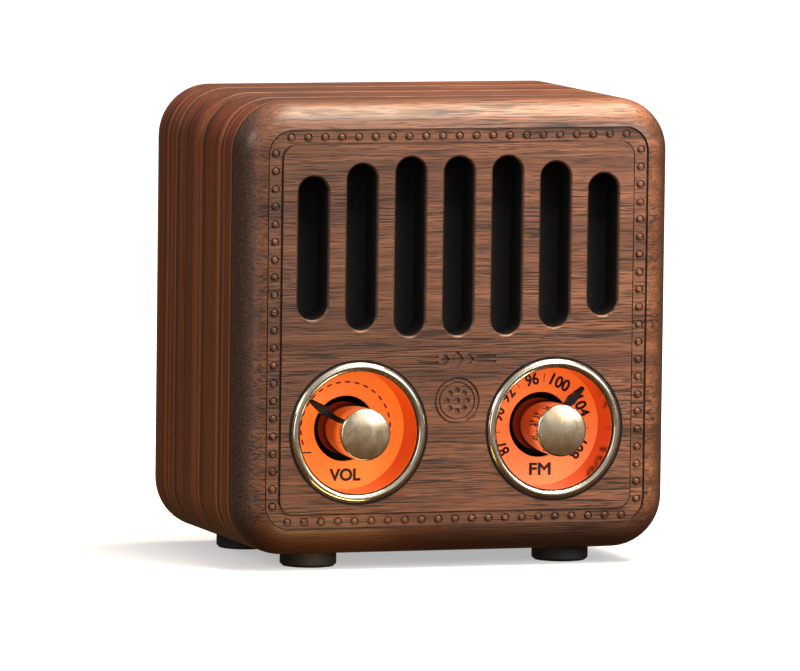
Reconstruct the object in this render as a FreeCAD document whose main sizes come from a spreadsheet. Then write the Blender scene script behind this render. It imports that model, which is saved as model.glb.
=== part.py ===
"""Tabletop radio in a walnut cabinet: a parametric FreeCAD document, one object for each piece.

Units are millimetres and degrees. The row's frame has +Z up and the front facing -Y, with the origin
at the centre of the whole radio's footprint, on the surface that it stands on. Most pieces are drawn
in the cabinet's own frame: x to the right, depth back from the front face, z up from the middle.
"""
import math
import os

import FreeCAD
import Part
import Sketcher

DRIVING_SIZES = [
    # cabinet
    ("cabinet_width", 86.0, "cabinet, side to side"),
    ("cabinet_height", 86.0, "cabinet, without the feet"),
    ("front_layer", 14.0, "front panel, front to back"),
    ("middle_layer", 14.0, "each middle frame, front to back"),
    ("rear_layer", 15.0, "rear frame, front to back"),
    ("cabinet_corner", 10.0, "outline's corner radius"),
    ("front_round", 6.0, "rounding of the front edge"),
    ("rear_round", 2.5, "rounding of the rear edge"),
    ("cabinet_wall", 6.0, "side walls"),
    ("front_wall", 7.0, "wood behind the front face"),
    ("inner_corner", 5.0, "corner radius inside the cabinet"),
    ("screw_corner", 16.0, "corner radius inside the rear frame, which leaves wood for the screws"),
    ("line_depth", 6.4, "fine turned line round the front panel, behind the front face"),
    ("line_width", 0.3, "fine turned line, front to back"),
    ("line_sunk", 0.22, "fine turned line, into the wood"),
    ("seam_bevel", 0.3, "bevel where two layers meet"),
    # carved front
    ("band_margin", 5.1, "from the outline in to the carved band"),
    ("band_width", 3.0, "carved band"),
    ("band_depth", 0.4, "carved band"),
    ("band_groove", 0.32, "width and depth of the fine groove along both edges of the band"),
    ("band_corner", 4.8, "outer corner radius of the band"),
    ("stud_pitch", 3.34, "from one carved stud to the next"),
    ("stud_radius", 0.52, "carved stud"),
    ("stud_height", 0.3, "carved stud, above the band's floor"),
    ("ring_radius", 0.86, "fine ring round each stud"),
    ("ring_width", 0.26, "fine ring round each stud"),
    ("ring_depth", 0.26, "fine ring round each stud"),
    ("slot_pitch", 9.64, "from one sound slot to the next"),
    ("slot_width", 5.98, "sound slots"),
    ("slot_top_outer", 29.06, "top of the outermost slots"),
    ("slot_top_second", 31.35, "top of the slots next to them"),
    ("slot_top_middle", 32.54, "top of the middle slots"),
    ("slot_foot_outer", 1.82, "foot of the outermost slots"),
    ("slot_foot_second", -0.29, "foot of the slots next to them"),
    ("slot_foot_middle", -1.53, "foot of the middle slots"),
    ("slot_bevel", 0.3, "bevel round the slots"),
    ("ornament_depth", 0.35, "carved ornaments"),
    ("ornament_height", -6.0, "middle of the carved bar"),
    ("ornament_half", 8.0, "half of the carved bar's length"),
    ("rosette_height", -13.9, "middle of the carved rosette"),
    ("rosette_radius", 4.5, "carved ring round the rosette"),
    # dials
    ("dial_spread", 19.54, "from the middle to each dial"),
    ("dial_height", -19.6, "both dials' centres"),
    ("rim_radius", 13.75, "black rim, outside"),
    ("bezel_radius", 13.4, "bezel's flange, outside"),
    ("bezel_bore", 11.6, "bezel, inside"),
    ("bezel_proud", 0.7, "bezel in front of the front face"),
    ("bezel_flange", 1.9, "bezel's flange, front to back"),
    ("bezel_tube", 12.5, "bezel's tube, outside"),
    ("dial_depth", 8.0, "dial's face behind the front face"),
    ("dial_thickness", 1.2, "dial plate"),
    ("dial_hole", 6.3, "hole in the dial"),
    ("cup_wall", 0.9, "light cup"),
    ("cup_length", 6.2, "light cup, front to back"),
    ("cup_shoulder", 0.7, "shoulder inside the light cup"),
    ("lamp_board_thickness", 0.8, "ring board of the dial lamps"),
    ("lamp_radius", 0.9, "dial lamp"),
    ("lamp_height", 0.7, "dial lamp"),
    # knobs and their controls
    ("knob_radius", 4.95, "knob"),
    ("knob_proud", 5.0, "knob in front of the front face"),
    ("knob_crown", 0.55, "rise of the knob's face"),
    ("knob_flat", 0.4, "radius of the flat in the middle of the knob's face"),
    ("knob_edge", 0.45, "rounding of the knob's edge"),
    ("knob_length", 15.0, "knob"),
    ("shaft_radius", 3.0, "control shafts"),
    ("shaft_end", 19.8, "rear end of the shafts"),
    ("pointer_front", 3.5, "front of the pointers"),
    ("pointer_thickness", 1.1, "pointers"),
    ("pointer_reach", 10.4, "pointers, from the knob's axis"),
    ("pointer_root", 1.1, "width of the pointers at the knob"),
    ("pointer_belly", 1.9, "greatest width of the pointers"),
    ("pointer_tip", 0.8, "width of the pointers at the tip"),
    ("pointer_sunk", 1.1, "pointer's root, let into the knob"),
    ("volume_angle", -55.0, "volume pointer at rest, clockwise from the top"),
    ("tuning_angle", 44.0, "tuning pointer at rest, clockwise from the top"),
    ("bracket_thickness", 1.0, "steel bracket of the controls"),
    ("bracket_below", 15.6, "bracket below the dials' centres"),
    ("bracket_above", 15.0, "bracket above the dials' centres"),
    ("bracket_corner", 4.0, "bracket's corner radius"),
    ("bracket_screw_inset", 9.5, "from the cabinet's sides and bottom to the bracket screws"),
    ("bracket_screw_rise", 12.1, "upper bracket screws above the dials' centres"),
    ("standoff_radius", 2.3, "standoffs, across the corners"),
    ("bushing_radius", 3.9, "threaded bushings"),
    ("bushing_front", 10.8, "front end of the bushings"),
    ("nut_thickness", 1.8, "bushing nuts"),
    ("nut_radius", 5.7, "bushing nuts, across the corners"),
    ("control_body", 8.4, "half the width of the control bodies"),
    ("control_length", 7.2, "control bodies, front to back"),
    # loudspeaker
    ("speaker_height", 15.5, "loudspeaker's axis"),
    ("speaker_radius", 20.0, "loudspeaker's flange"),
    ("cloth_thickness", 0.6, "grille cloth"),
    ("baffle_thickness", 2.0, "baffle plate"),
    ("cloth_height", 40.0, "grille cloth, top to bottom"),
    ("baffle_height", 41.0, "baffle plate, top to bottom"),
    ("baffle_screw_inset", 8.8, "from the cabinet's sides to the baffle screws"),
    ("baffle_screw_rise", 15.0, "baffle screws above and below the loudspeaker's axis"),
    ("speaker_screw_inset", 1.5, "from the flange's edge to the loudspeaker screws"),
    ("flange_thickness", 1.2, "loudspeaker's flange"),
    ("basket_depth", 10.6, "loudspeaker's basket, front to back"),
    ("basket_wall", 0.8, "loudspeaker's basket"),
    ("plate_thickness", 2.2, "loudspeaker's iron plates"),
    ("magnet_radius", 14.5, "magnet"),
    ("magnet_length", 6.0, "magnet"),
    # rear cover and what it carries
    ("cover_inset", 4.0, "from the outline in to the rear cover"),
    ("cover_thickness", 2.4, "rear cover"),
    ("cover_sunk", 0.4, "rear cover below the cabinet's rear edge"),
    ("cover_corner", 7.0, "rear cover's corner radius"),
    ("cover_screw_inset", 9.0, "from the outline in to the cover screws"),
    ("cover_bevel", 0.3, "bevel round the rear cover"),
    ("post_radius", 2.3, "rear cover's posts for the main board"),
    ("field_margin", 10.0, "sunk field beyond the sockets"),
    ("field_height", 12.0, "sunk field round the sockets"),
    ("field_sunk", 0.5, "sunk field, into the cover"),
    ("grip_pitch", 3.4, "from one grip groove to the next"),
    ("grip_length", 34.0, "grip grooves"),
    ("grip_radius", 0.7, "half the width of the grip grooves"),
    ("grip_depth", 0.6, "grip grooves"),
    ("board_gap", 7.0, "from the main board to the rear cover"),
    ("board_thickness", 1.2, "main board"),
    ("board_width", 56.0, "main board"),
    ("board_height", 25.0, "main board"),
    ("board_centre", -21.0, "main board's middle"),
    ("socket_spread", 15.0, "from the middle to each socket"),
    ("usb_width", 9.0, "charging socket"),
    ("usb_height", 3.3, "charging socket"),
    ("usb_wall", 0.3, "charging socket's shell"),
    ("usb_depth", 6.2, "room in the charging socket"),
    ("usb_tongue", 5.4, "charging socket's tongue"),
    ("socket_gap", 0.15, "round the sockets in the cover"),
    ("lens_radius", 0.9, "status light"),
    ("aux_radius", 3.0, "audio socket, outside"),
    ("aux_bore", 1.8, "audio socket, for the plug"),
    ("switch_travel", 4.0, "slide switch"),
    ("switch_proud", 0.9, "slide switch behind the cabinet's rear edge"),
    ("switch_thumb", 3.0, "slide switch, the part that is pushed"),
    ("switch_stem", 2.0, "slide switch, the part in the cover's slot"),
    ("switch_well", 1.3, "slide switch's well in the cover"),
    ("battery_width", 50.0, "battery"),
    ("battery_height", 30.0, "battery"),
    ("battery_depth", 7.6, "battery"),
    ("battery_centre", 17.5, "battery's middle"),
    ("tray_wall", 1.6, "battery tray"),
    ("tray_gap", 0.1, "round the battery in its tray"),
    # feet
    ("foot_radius", 5.4, "feet"),
    ("foot_height", 3.0, "feet"),
    ("foot_edge", 12.5, "from the cabinet's front or rear to the feet"),
    ("front_foot_spread", 25.3, "from the middle to each front foot"),
    ("rear_foot_spread", 28.0, "from the middle to each rear foot"),
    # screws: radius of the head, its length, radius of the shank, its length
    ("foot_screw_head", 2.3, "foot screws, head radius"),
    ("foot_screw_cap", 1.1, "foot screws, head length"),
    ("foot_screw_shank", 1.1, "foot screws, shank radius"),
    ("foot_screw_reach", 5.6, "foot screws, shank length"),
    ("cover_screw_head", 2.0, "cover screws, head radius"),
    ("cover_screw_cap", 1.0, "cover screws, head length"),
    ("cover_screw_shank", 0.95, "cover screws, shank radius"),
    ("cover_screw_reach", 6.0, "cover screws, shank length"),
    ("baffle_screw_head", 1.8, "baffle screws, head radius"),
    ("baffle_screw_cap", 1.1, "baffle screws, head length"),
    ("baffle_screw_shank", 0.9, "baffle screws, shank radius"),
    ("baffle_screw_reach", 5.4, "baffle screws, shank length"),
    ("speaker_screw_head", 1.3, "loudspeaker screws, head radius"),
    ("speaker_screw_cap", 0.9, "loudspeaker screws, head length"),
    ("speaker_screw_shank", 0.75, "loudspeaker screws, shank radius"),
    ("speaker_screw_reach", 2.6, "loudspeaker screws, shank length"),
    ("bracket_screw_head", 2.0, "bracket screws, head radius"),
    ("bracket_screw_cap", 1.3, "bracket screws, head length"),
    ("bracket_screw_shank", 1.1, "bracket screws, shank radius"),
    ("bracket_screw_reach", 4.4, "bracket screws, shank length"),
    ("board_screw_head", 1.7, "board screws, head radius"),
    ("board_screw_cap", 1.1, "board screws, head length"),
    ("board_screw_shank", 0.9, "board screws, shank radius"),
    ("board_screw_reach", 4.6, "board screws, shank length"),
    ("pilot_spare", 0.5, "blind screw holes beyond the screw's tip"),
    # fits
    ("fit_gap", 0.05, "round pieces set into one another"),
    ("running_gap", 0.05, "shafts that turn in a bore, radial"),
    ("moving_gap", 0.3, "faces that pass each other"),
    ("panel_gap", 0.2, "round the rear cover"),
]


class Size:
    """A length or angle with the sheet expression that drives it."""

    def __init__(self, value, text):
        self.value = value
        self.text = text

    def _join(self, sign, other, value):
        return Size(value, "(" + self.text + " " + sign + " " + as_size(other).text + ")")

    def __add__(self, other):
        return self._join("+", other, self.value + as_size(other).value)

    def __sub__(self, other):
        return self._join("-", other, self.value - as_size(other).value)

    def __mul__(self, other):
        return self._join("*", other, self.value * as_size(other).value)

    def __truediv__(self, other):
        return self._join("/", other, self.value / as_size(other).value)

    def __neg__(self):
        return self * -1

    def __radd__(self, other):
        return as_size(other) + self

    def __rsub__(self, other):
        return as_size(other) - self

    def __rmul__(self, other):
        return as_size(other) * self


def as_size(number):
    """The number itself as a Size, unless it is one already."""
    if isinstance(number, Size):
        return number
    return Size(float(number), repr(float(number)))


doc = FreeCAD.newDocument("radio")
sheet = doc.addObject("Spreadsheet::Sheet", "Dims")


class Dimensions:
    """The driving sizes by name."""


dim = Dimensions()
for row, (alias, number, meaning) in enumerate(DRIVING_SIZES, start=1):
    sheet.set("A%d" % row, alias)
    sheet.set("B%d" % row, repr(number))
    sheet.set("C%d" % row, meaning)
    sheet.setAlias("B%d" % row, alias)
    setattr(dim, alias, Size(number, "Dims." + alias))
doc.recompute()

# Places worked out from the driving sizes. Depths are behind the front face.
half_width = dim.cabinet_width / 2
half_height = dim.cabinet_height / 2
seam_one = dim.front_layer
seam_two = seam_one + dim.middle_layer
seam_three = seam_two + dim.middle_layer
cabinet_depth = seam_three + dim.rear_layer
front_y = (dim.knob_proud - cabinet_depth - dim.switch_proud) / 2
centre_z = dim.foot_height + half_height
inner_half_width = half_width - dim.cabinet_wall
inner_half_height = half_height - dim.cabinet_wall
dial_back = dim.dial_depth + dim.dial_thickness
bracket_front = dim.dial_depth + dim.cup_length
bracket_back = bracket_front + dim.bracket_thickness
cloth_back = dim.front_wall + dim.cloth_thickness
flange_front = cloth_back + dim.baffle_thickness
cover_back = cabinet_depth - dim.cover_sunk
cover_front = cover_back - dim.cover_thickness
board_back = cover_front - dim.board_gap
board_front = board_back - dim.board_thickness

nodes = []


def keep(item, name):
    """Label a finished piece and list it for writing."""
    item.Label = name
    nodes.append(item)
    return item


def place(item, x, depth, z):
    """Put a piece's own origin at x, a depth behind the front face and z above the cabinet's middle."""
    item.setExpression("Placement.Base.x", as_size(x).text)
    item.setExpression("Placement.Base.y", (front_y + depth).text)
    item.setExpression("Placement.Base.z", (centre_z + z).text)


def new_body(name, x=0, z=0):
    """A PartDesign body whose origin is on the front face at x, z."""
    body = doc.addObject("PartDesign::Body", "body_" + name)
    place(body, x, 0, z)
    return keep(body, name)


def origin_item(body, role):
    """One of the body's own origin planes or axes."""
    return [item for item in body.Origin.OriginFeatures if item.Role == role][0]


class Drawing:
    """A sketch whose points, circles and arcs are all held by the sheet's sizes."""

    def __init__(self, body, plane, offset=0):
        self.body = body
        self.sketch = body.newObject("Sketcher::SketchObject", body.Label + "_sketch")
        self.sketch.AttachmentSupport = (origin_item(body, plane), [""])
        self.sketch.MapMode = "FlatFace"
        self.sketch.setExpression("AttachmentOffset.Base.z", as_size(offset).text)

    def hold(self, kind, size, *where):
        """Add one dimension and bind it to the sheet."""
        size = as_size(size)
        index = self.sketch.addConstraint(Sketcher.Constraint(kind, *where, size.value))
        self.sketch.setExpression("Constraints[%d]" % index, size.text)

    def pin(self, geometry, point, across, along):
        """Hold a point of a piece of geometry at a distance from the sketch's origin."""
        self.hold("DistanceX", across, -1, 1, geometry, point)
        self.hold("DistanceY", along, -1, 1, geometry, point)

    def circle(self, across, along, radius):
        """A circle about a point."""
        centre = FreeCAD.Vector(as_size(across).value, as_size(along).value, 0)
        shape = Part.Circle(centre, FreeCAD.Vector(0, 0, 1), as_size(radius).value)
        geometry = self.sketch.addGeometry(shape, False)
        self.hold("Radius", radius, geometry)
        self.pin(geometry, 3, across, along)
        return self

    def loop(self, points, domes=()):
        """A closed outline through the points. Edges listed in domes are arcs centred on the upright axis."""
        spots = [(as_size(across), as_size(along)) for across, along in points]
        ends = []
        for index, start in enumerate(spots):
            finish = spots[(index + 1) % len(spots)]
            if index in domes:
                ends.append(self.dome(start, finish))
            else:
                line = Part.LineSegment(vector_at(start), vector_at(finish))
                ends.append((self.sketch.addGeometry(line, False), 1, 2))
        for index, (geometry, first, last) in enumerate(ends):
            follower = ends[(index + 1) % len(ends)]
            constraint = Sketcher.Constraint("Coincident", geometry, last, follower[0], follower[1])
            self.sketch.addConstraint(constraint)
            self.pin(geometry, first, *spots[index])
        return self

    def dome(self, start, finish):
        """An arc from start to finish, centred on the across = 0 axis."""
        (x1, y1), (x2, y2) = [(across.value, along.value) for across, along in (start, finish)]
        middle = (x2 * x2 + y2 * y2 - x1 * x1 - y1 * y1) / (2 * (y2 - y1))
        radius = math.hypot(x1, y1 - middle)
        first = math.atan2(y1 - middle, x1)
        last = math.atan2(y2 - middle, x2)
        circle = Part.Circle(FreeCAD.Vector(0, middle, 0), FreeCAD.Vector(0, 0, 1), radius)
        forward = last > first
        arc = Part.ArcOfCircle(circle, min(first, last), max(first, last))
        geometry = self.sketch.addGeometry(arc, False)
        self.sketch.addConstraint(Sketcher.Constraint("PointOnObject", geometry, 3, -2))
        if forward:
            return geometry, 1, 2
        return geometry, 2, 1

    def rounded(self, arcs, radius):
        """A closed outline of arcs joined by tangent lines; arcs holds each centre, start and end angle."""
        radius = as_size(radius)
        held = []
        for across, along, first, last in arcs:
            centre = vector_at((as_size(across), as_size(along)))
            circle = Part.Circle(centre, FreeCAD.Vector(0, 0, 1), radius.value)
            arc = Part.ArcOfCircle(circle, math.radians(first), math.radians(last))
            held.append((self.sketch.addGeometry(arc, False), arc))
        for index, (geometry, arc) in enumerate(held):
            follower, next_arc = held[(index + 1) % len(held)]
            line = self.sketch.addGeometry(Part.LineSegment(arc.EndPoint, next_arc.StartPoint), False)
            self.sketch.addConstraint(Sketcher.Constraint("Tangent", geometry, 2, line, 1))
            self.sketch.addConstraint(Sketcher.Constraint("Tangent", line, 2, follower, 1))
            self.hold("Radius", radius, geometry)
            self.pin(geometry, 3, arcs[index][0], arcs[index][1])
        return self

    def rounded_box(self, across, along, width, height, radius):
        """A rectangle with rounded corners about a point."""
        reach_across = width / 2 - radius
        reach_along = height / 2 - radius
        return self.rounded([
            (across + reach_across, along + reach_along, 0, 90),
            (across - reach_across, along + reach_along, 90, 180),
            (across - reach_across, along - reach_along, 180, 270),
            (across + reach_across, along - reach_along, 270, 360),
        ], radius)

    def upright_slot(self, across, low, high, radius):
        """A slot with round ends along the second axis, from low to high."""
        return self.rounded([(across, high - radius, 0, 180), (across, low + radius, 180, 360)], radius)

    def level_slot(self, across, along, length, radius):
        """A slot with round ends along the first axis."""
        reach = length / 2 - radius
        return self.rounded([(across + reach, along, -90, 90), (across - reach, along, 90, 270)], radius)


def vector_at(spot):
    """A sketch point as a vector."""
    return FreeCAD.Vector(spot[0].value, spot[1].value, 0)


def front_drawing(body, depth=0):
    """A drawing parallel to the front face, at a depth behind it: across is x and along is z."""
    return Drawing(body, "XZ_Plane", -as_size(depth))


def pad(drawing, length, upwards=False):
    """Thicken a front drawing towards the rear, or a level drawing upwards."""
    feature = drawing.body.newObject("PartDesign::Pad", drawing.body.Label + "_pad")
    feature.Profile = drawing.sketch
    feature.Reversed = not upwards
    feature.setExpression("Length", as_size(length).text)
    drawing.sketch.Visibility = False
    doc.recompute()
    return feature


def pocket(drawing, depth, towards_front=False):
    """Cut a drawing into the body, and make sure that it did remove material."""
    before = drawing.body.Shape.Volume
    feature = drawing.body.newObject("PartDesign::Pocket", drawing.body.Label + "_pocket")
    feature.Profile = drawing.sketch
    feature.Reversed = towards_front
    feature.setExpression("Length", as_size(depth).text)
    doc.recompute()
    if not drawing.body.Shape.Volume < before:
        raise RuntimeError("a pocket in " + drawing.body.Label + " cut nothing")
    return feature


def revolve(body, points, domes=(), plane="XY_Plane"):
    """Turn an outline of (radius, depth) points about the body's own front-to-back axis."""
    drawing = Drawing(body, plane).loop(points, domes)
    feature = body.newObject("PartDesign::Revolution", body.Label + "_revolution")
    feature.Profile = drawing.sketch
    feature.ReferenceAxis = (drawing.sketch, ["V_Axis"])
    feature.Angle = 360
    doc.recompute()
    return feature


def edges_where(feature, wanted):
    """The names of a feature's edges that a test on the edge accepts."""
    return ["Edge%d" % (index + 1) for index, edge in enumerate(feature.Shape.Edges) if wanted(edge)]


def dress(body, kind, feature, size, wanted):
    """Fillet or chamfer the edges of the body's last feature that the test accepts."""
    dressing = body.newObject("PartDesign::" + kind, body.Label + "_" + kind.lower())
    dressing.Base = (feature, edges_where(feature, wanted))
    dressing.setExpression("Radius" if kind == "Fillet" else "Size", as_size(size).text)
    doc.recompute()
    return dressing


def lies_at(depth):
    """A test for edges that lie wholly at one depth."""
    level = as_size(depth).value

    def wanted(edge):
        box = edge.BoundBox
        return abs(box.YMin - level) < 1e-4 and abs(box.YMax - level) < 1e-4
    return wanted


def box_piece(name, x, depth, z, width, length, height):
    """A plain block centred on x and z, from a depth towards the rear."""
    block = doc.addObject("Part::Box", "block_" + name)
    block.setExpression("Length", as_size(width).text)
    block.setExpression("Width", as_size(length).text)
    block.setExpression("Height", as_size(height).text)
    place(block, x - as_size(width) / 2, as_size(depth), z - as_size(height) / 2)
    return keep(block, name)


def screws(name, places, head_front, screw, from_rear=False):
    """A group of screws, driven from the front or the rear, whose heads' front faces lie at one depth."""
    body = new_body(name)
    shank_front = head_front + screw.cap
    recess_front = head_front
    if from_rear:
        shank_front = head_front - screw.reach
        recess_front = head_front + screw.cap
    heads = front_drawing(body, head_front)
    shanks = front_drawing(body, shank_front)
    for x, z in places:
        heads.circle(x, z, screw.head)
        shanks.circle(x, z, screw.shank)
    pad(heads, screw.cap)
    pad(shanks, screw.reach)
    recess = front_drawing(body, recess_front)
    for x, z in places:
        recess.loop(regular_corners(x, z, 6, screw.shank * 0.7))
    pocket(recess, screw.cap * 0.5, towards_front=from_rear)


def regular_corners(x, z, count, radius):
    """The corners of a regular polygon about x, z."""
    turns = [2 * math.pi * index / count for index in range(count)]
    return [(x + radius * math.cos(turn), z + radius * math.sin(turn)) for turn in turns]


def corner_places(x, z):
    """Four places, mirrored left to right and top to bottom."""
    return [(as_size(x) * across, as_size(z) * up) for up in (1, -1) for across in (-1, 1)]


class Screw:
    """A kind of screw: the radius and length of its head and of its shank."""

    def __init__(self, kind):
        self.head = getattr(dim, kind + "_screw_head")
        self.cap = getattr(dim, kind + "_screw_cap")
        self.shank = getattr(dim, kind + "_screw_shank")
        self.reach = getattr(dim, kind + "_screw_reach")
        self.hole = self.shank + dim.fit_gap


foot_screw = Screw("foot")
cover_screw = Screw("cover")
baffle_screw = Screw("baffle")
speaker_screw = Screw("speaker")
bracket_screw = Screw("bracket")
board_screw = Screw("board")


# ---- cabinet ----

cover_sink = cover_screw.cap + 0.2
cover_screw_places = corner_places(half_width - dim.cover_screw_inset, half_height - dim.cover_screw_inset)
baffle_screw_x = half_width - dim.baffle_screw_inset
baffle_screw_levels = [dim.speaker_height + dim.baffle_screw_rise * up for up in (-1, 1)]
baffle_screw_places = [(baffle_screw_x * side, level) for side in (-1, 1) for level in baffle_screw_levels]
standoff_x = half_width - dim.bracket_screw_inset
standoff_levels = (dim.bracket_screw_inset - half_height, dim.dial_height + dim.bracket_screw_rise)
standoff_places = [(standoff_x * side, level) for side in (-1, 1) for level in standoff_levels]


def cut_pilots(body, places, depth, through, screw, towards_front=True):
    """Blind holes for screws that pass through something of a given thickness first."""
    drawing = front_drawing(body, depth)
    for x, z in places:
        drawing.circle(x, z, screw.hole)
    pocket(drawing, screw.reach - through + dim.pilot_spare, towards_front)


def cut_foot_pilots(body, spread, depth):
    """Holes in the cabinet's underside for a pair of foot screws."""
    drawing = Drawing(body, "XY_Plane", -half_height)
    drawing.circle(-spread, depth, foot_screw.hole)
    drawing.circle(spread, depth, foot_screw.hole)
    pocket(drawing, foot_screw.reach - dim.foot_height * 0.5 + dim.pilot_spare, towards_front=True)


def layer_block(name, start, length):
    """One solid layer of the cabinet, before it is hollowed."""
    body = new_body(name)
    outline = front_drawing(body, start)
    outline.rounded_box(0, 0, dim.cabinet_width, dim.cabinet_height, dim.cabinet_corner)
    return body, pad(outline, length)


def hollow(body, start, length, corner):
    """Open the inside of a layer."""
    opening = front_drawing(body, start)
    opening.rounded_box(0, 0, inner_half_width * 2, inner_half_height * 2, corner)
    pocket(opening, length)


def slot_ends():
    """Each sound slot's x, foot and top."""
    tops = [dim.slot_top_middle, dim.slot_top_middle, dim.slot_top_second, dim.slot_top_outer]
    feet = [dim.slot_foot_middle, dim.slot_foot_middle, dim.slot_foot_second, dim.slot_foot_outer]
    return [(dim.slot_pitch * index, feet[abs(index)], tops[abs(index)]) for index in range(-3, 4)]


def stud_steps(reach):
    """Where the studs lie along one side, evenly from its middle and clear of the band's corners."""
    count = math.floor(reach.value / dim.stud_pitch.value - 0.5)
    return [dim.stud_pitch * index for index in range(-count, count + 1)]


def stud_places():
    """The middles of the carved studs, along the four sides of the band."""
    band_x = half_width - dim.band_margin - dim.band_width / 2
    band_z = half_height - dim.band_margin - dim.band_width / 2
    places = [(step, band_z * up) for step in stud_steps(band_x) for up in (-1, 1)]
    return places + [(band_x * side, step) for step in stud_steps(band_z) for side in (-1, 1)]


def front_panel():
    """Walnut front: sound slots, dial holes, carved band with studs, and two carved ornaments."""
    body, block = layer_block("front_panel", 0, dim.front_layer)
    block = dress(body, "Fillet", block, dim.front_round, lies_at(0))
    block = dress(body, "Chamfer", block, dim.seam_bevel, lies_at(dim.front_layer))
    line = front_drawing(body, dim.line_depth)
    line.rounded_box(0, 0, dim.cabinet_width + 1, dim.cabinet_height + 1, dim.cabinet_corner)
    sunk = dim.line_sunk * 2
    core_corner = dim.cabinet_corner - dim.line_sunk
    line.rounded_box(0, 0, dim.cabinet_width - sunk, dim.cabinet_height - sunk, core_corner)
    pocket(line, dim.line_width)
    opening = front_drawing(body, dim.front_wall)
    opening.rounded_box(0, 0, inner_half_width * 2, inner_half_height * 2, dim.inner_corner)
    pocket(opening, dim.front_layer - dim.front_wall)

    slots = front_drawing(body)
    for x, foot, top in slot_ends():
        slots.upright_slot(x, foot, top, dim.slot_width / 2)
    cut = pocket(slots, dim.front_wall)
    foot_level = dim.slot_foot_middle.value - 1

    def on_a_slot(edge):
        box = edge.BoundBox
        reach = dim.slot_pitch.value * 3 + dim.slot_width.value
        return lies_at(0)(edge) and box.ZMin > foot_level and max(abs(box.XMin), abs(box.XMax)) < reach
    dress(body, "Chamfer", cut, dim.slot_bevel, on_a_slot)

    holes = front_drawing(body)
    for side in (-1, 1):
        holes.circle(dim.dial_spread * side, dim.dial_height, dim.rim_radius + dim.fit_gap)
    pocket(holes, dim.front_wall)
    carve_band(body)
    carve_ornaments(body)
    through = dim.cloth_thickness + dim.baffle_thickness
    cut_pilots(body, baffle_screw_places, dim.front_wall, through, baffle_screw)
    cut_foot_pilots(body, dim.front_foot_spread, dim.foot_edge)


def carve_band(body):
    """The sunk band, with a domed stud in a fine ring at each place."""
    band = front_drawing(body)
    outer = dim.band_margin * 2
    inner = outer + dim.band_width * 2
    corner = dim.band_corner
    band.rounded_box(0, 0, dim.cabinet_width - outer, dim.cabinet_height - outer, corner)
    inner_corner = dim.band_corner - dim.band_width + 0.8
    band.rounded_box(0, 0, dim.cabinet_width - inner, dim.cabinet_height - inner, inner_corner)
    pocket(band, dim.band_depth)
    line = dim.band_groove
    grooves = front_drawing(body, dim.band_depth)
    for edge, radius in ((outer, corner), (inner - line * 2, inner_corner + line)):
        wide = dim.cabinet_width - edge
        high = dim.cabinet_height - edge
        grooves.rounded_box(0, 0, wide, high, radius)
        grooves.rounded_box(0, 0, wide - line * 2, high - line * 2, radius - line)
    pocket(grooves, line)
    rings = front_drawing(body, dim.band_depth)
    for x, z in stud_places():
        rings.circle(x, z, dim.ring_radius)
        rings.circle(x, z, dim.ring_radius - dim.ring_width)
    pocket(rings, dim.ring_depth)
    top = dim.band_depth - dim.stud_height
    studs = front_drawing(body, top)
    for x, z in stud_places():
        studs.circle(x, z, dim.stud_radius)
    raised = pad(studs, dim.stud_height)
    limit = dim.stud_radius.value * 1.1

    def on_a_stud(edge):
        box = edge.BoundBox
        return lies_at(top)(edge) and box.XLength < limit * 2 and box.ZLength < limit * 2
    dress(body, "Fillet", raised, dim.stud_height * 0.8, on_a_stud)


def carve_ornaments(body):
    """A carved bar of lozenges, and a ring with an eight-petalled rosette below it."""
    bar = front_drawing(body)
    middle = dim.ornament_height
    for side in (-1, 1):
        bar.level_slot(dim.ornament_half * 0.72 * side, middle + 0.55, dim.ornament_half * 0.5, 0.22)
        bar.level_slot(dim.ornament_half * 0.72 * side, middle - 0.55, dim.ornament_half * 0.5, 0.22)
        bar.loop(lozenge(dim.ornament_half * 0.3 * side, middle, 0.9, 1.1))
    bar.loop(lozenge(0, middle, 1.3, 1.7))
    pocket(bar, dim.ornament_depth)
    ring = front_drawing(body)
    ring.circle(0, dim.rosette_height, dim.rosette_radius)
    ring.circle(0, dim.rosette_height, dim.rosette_radius - 0.4)
    ring.circle(0, dim.rosette_height, dim.rosette_radius - 0.9)
    ring.circle(0, dim.rosette_height, dim.rosette_radius - 1.15)
    for index in range(8):
        turn = math.pi / 4 * index
        reach = dim.rosette_radius - 2.5
        ring.circle(reach * math.cos(turn), dim.rosette_height + reach * math.sin(turn), 0.55)
    ring.circle(0, dim.rosette_height, 0.6)
    pocket(ring, dim.ornament_depth)


def lozenge(x, z, reach_x, reach_z):
    """The corners of a lozenge."""
    return [(x + reach_x, z), (x, z + reach_z), (x - reach_x, z), (x, z - reach_z)]


def middle_frame(name, start):
    """A plain ring between the front panel and the rear frame."""
    body, block = layer_block(name, start, dim.middle_layer)
    block = dress(body, "Chamfer", block, dim.seam_bevel, lies_at(start))
    dress(body, "Chamfer", block, dim.seam_bevel, lies_at(start + dim.middle_layer))
    hollow(body, start, dim.middle_layer, dim.inner_corner)


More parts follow.
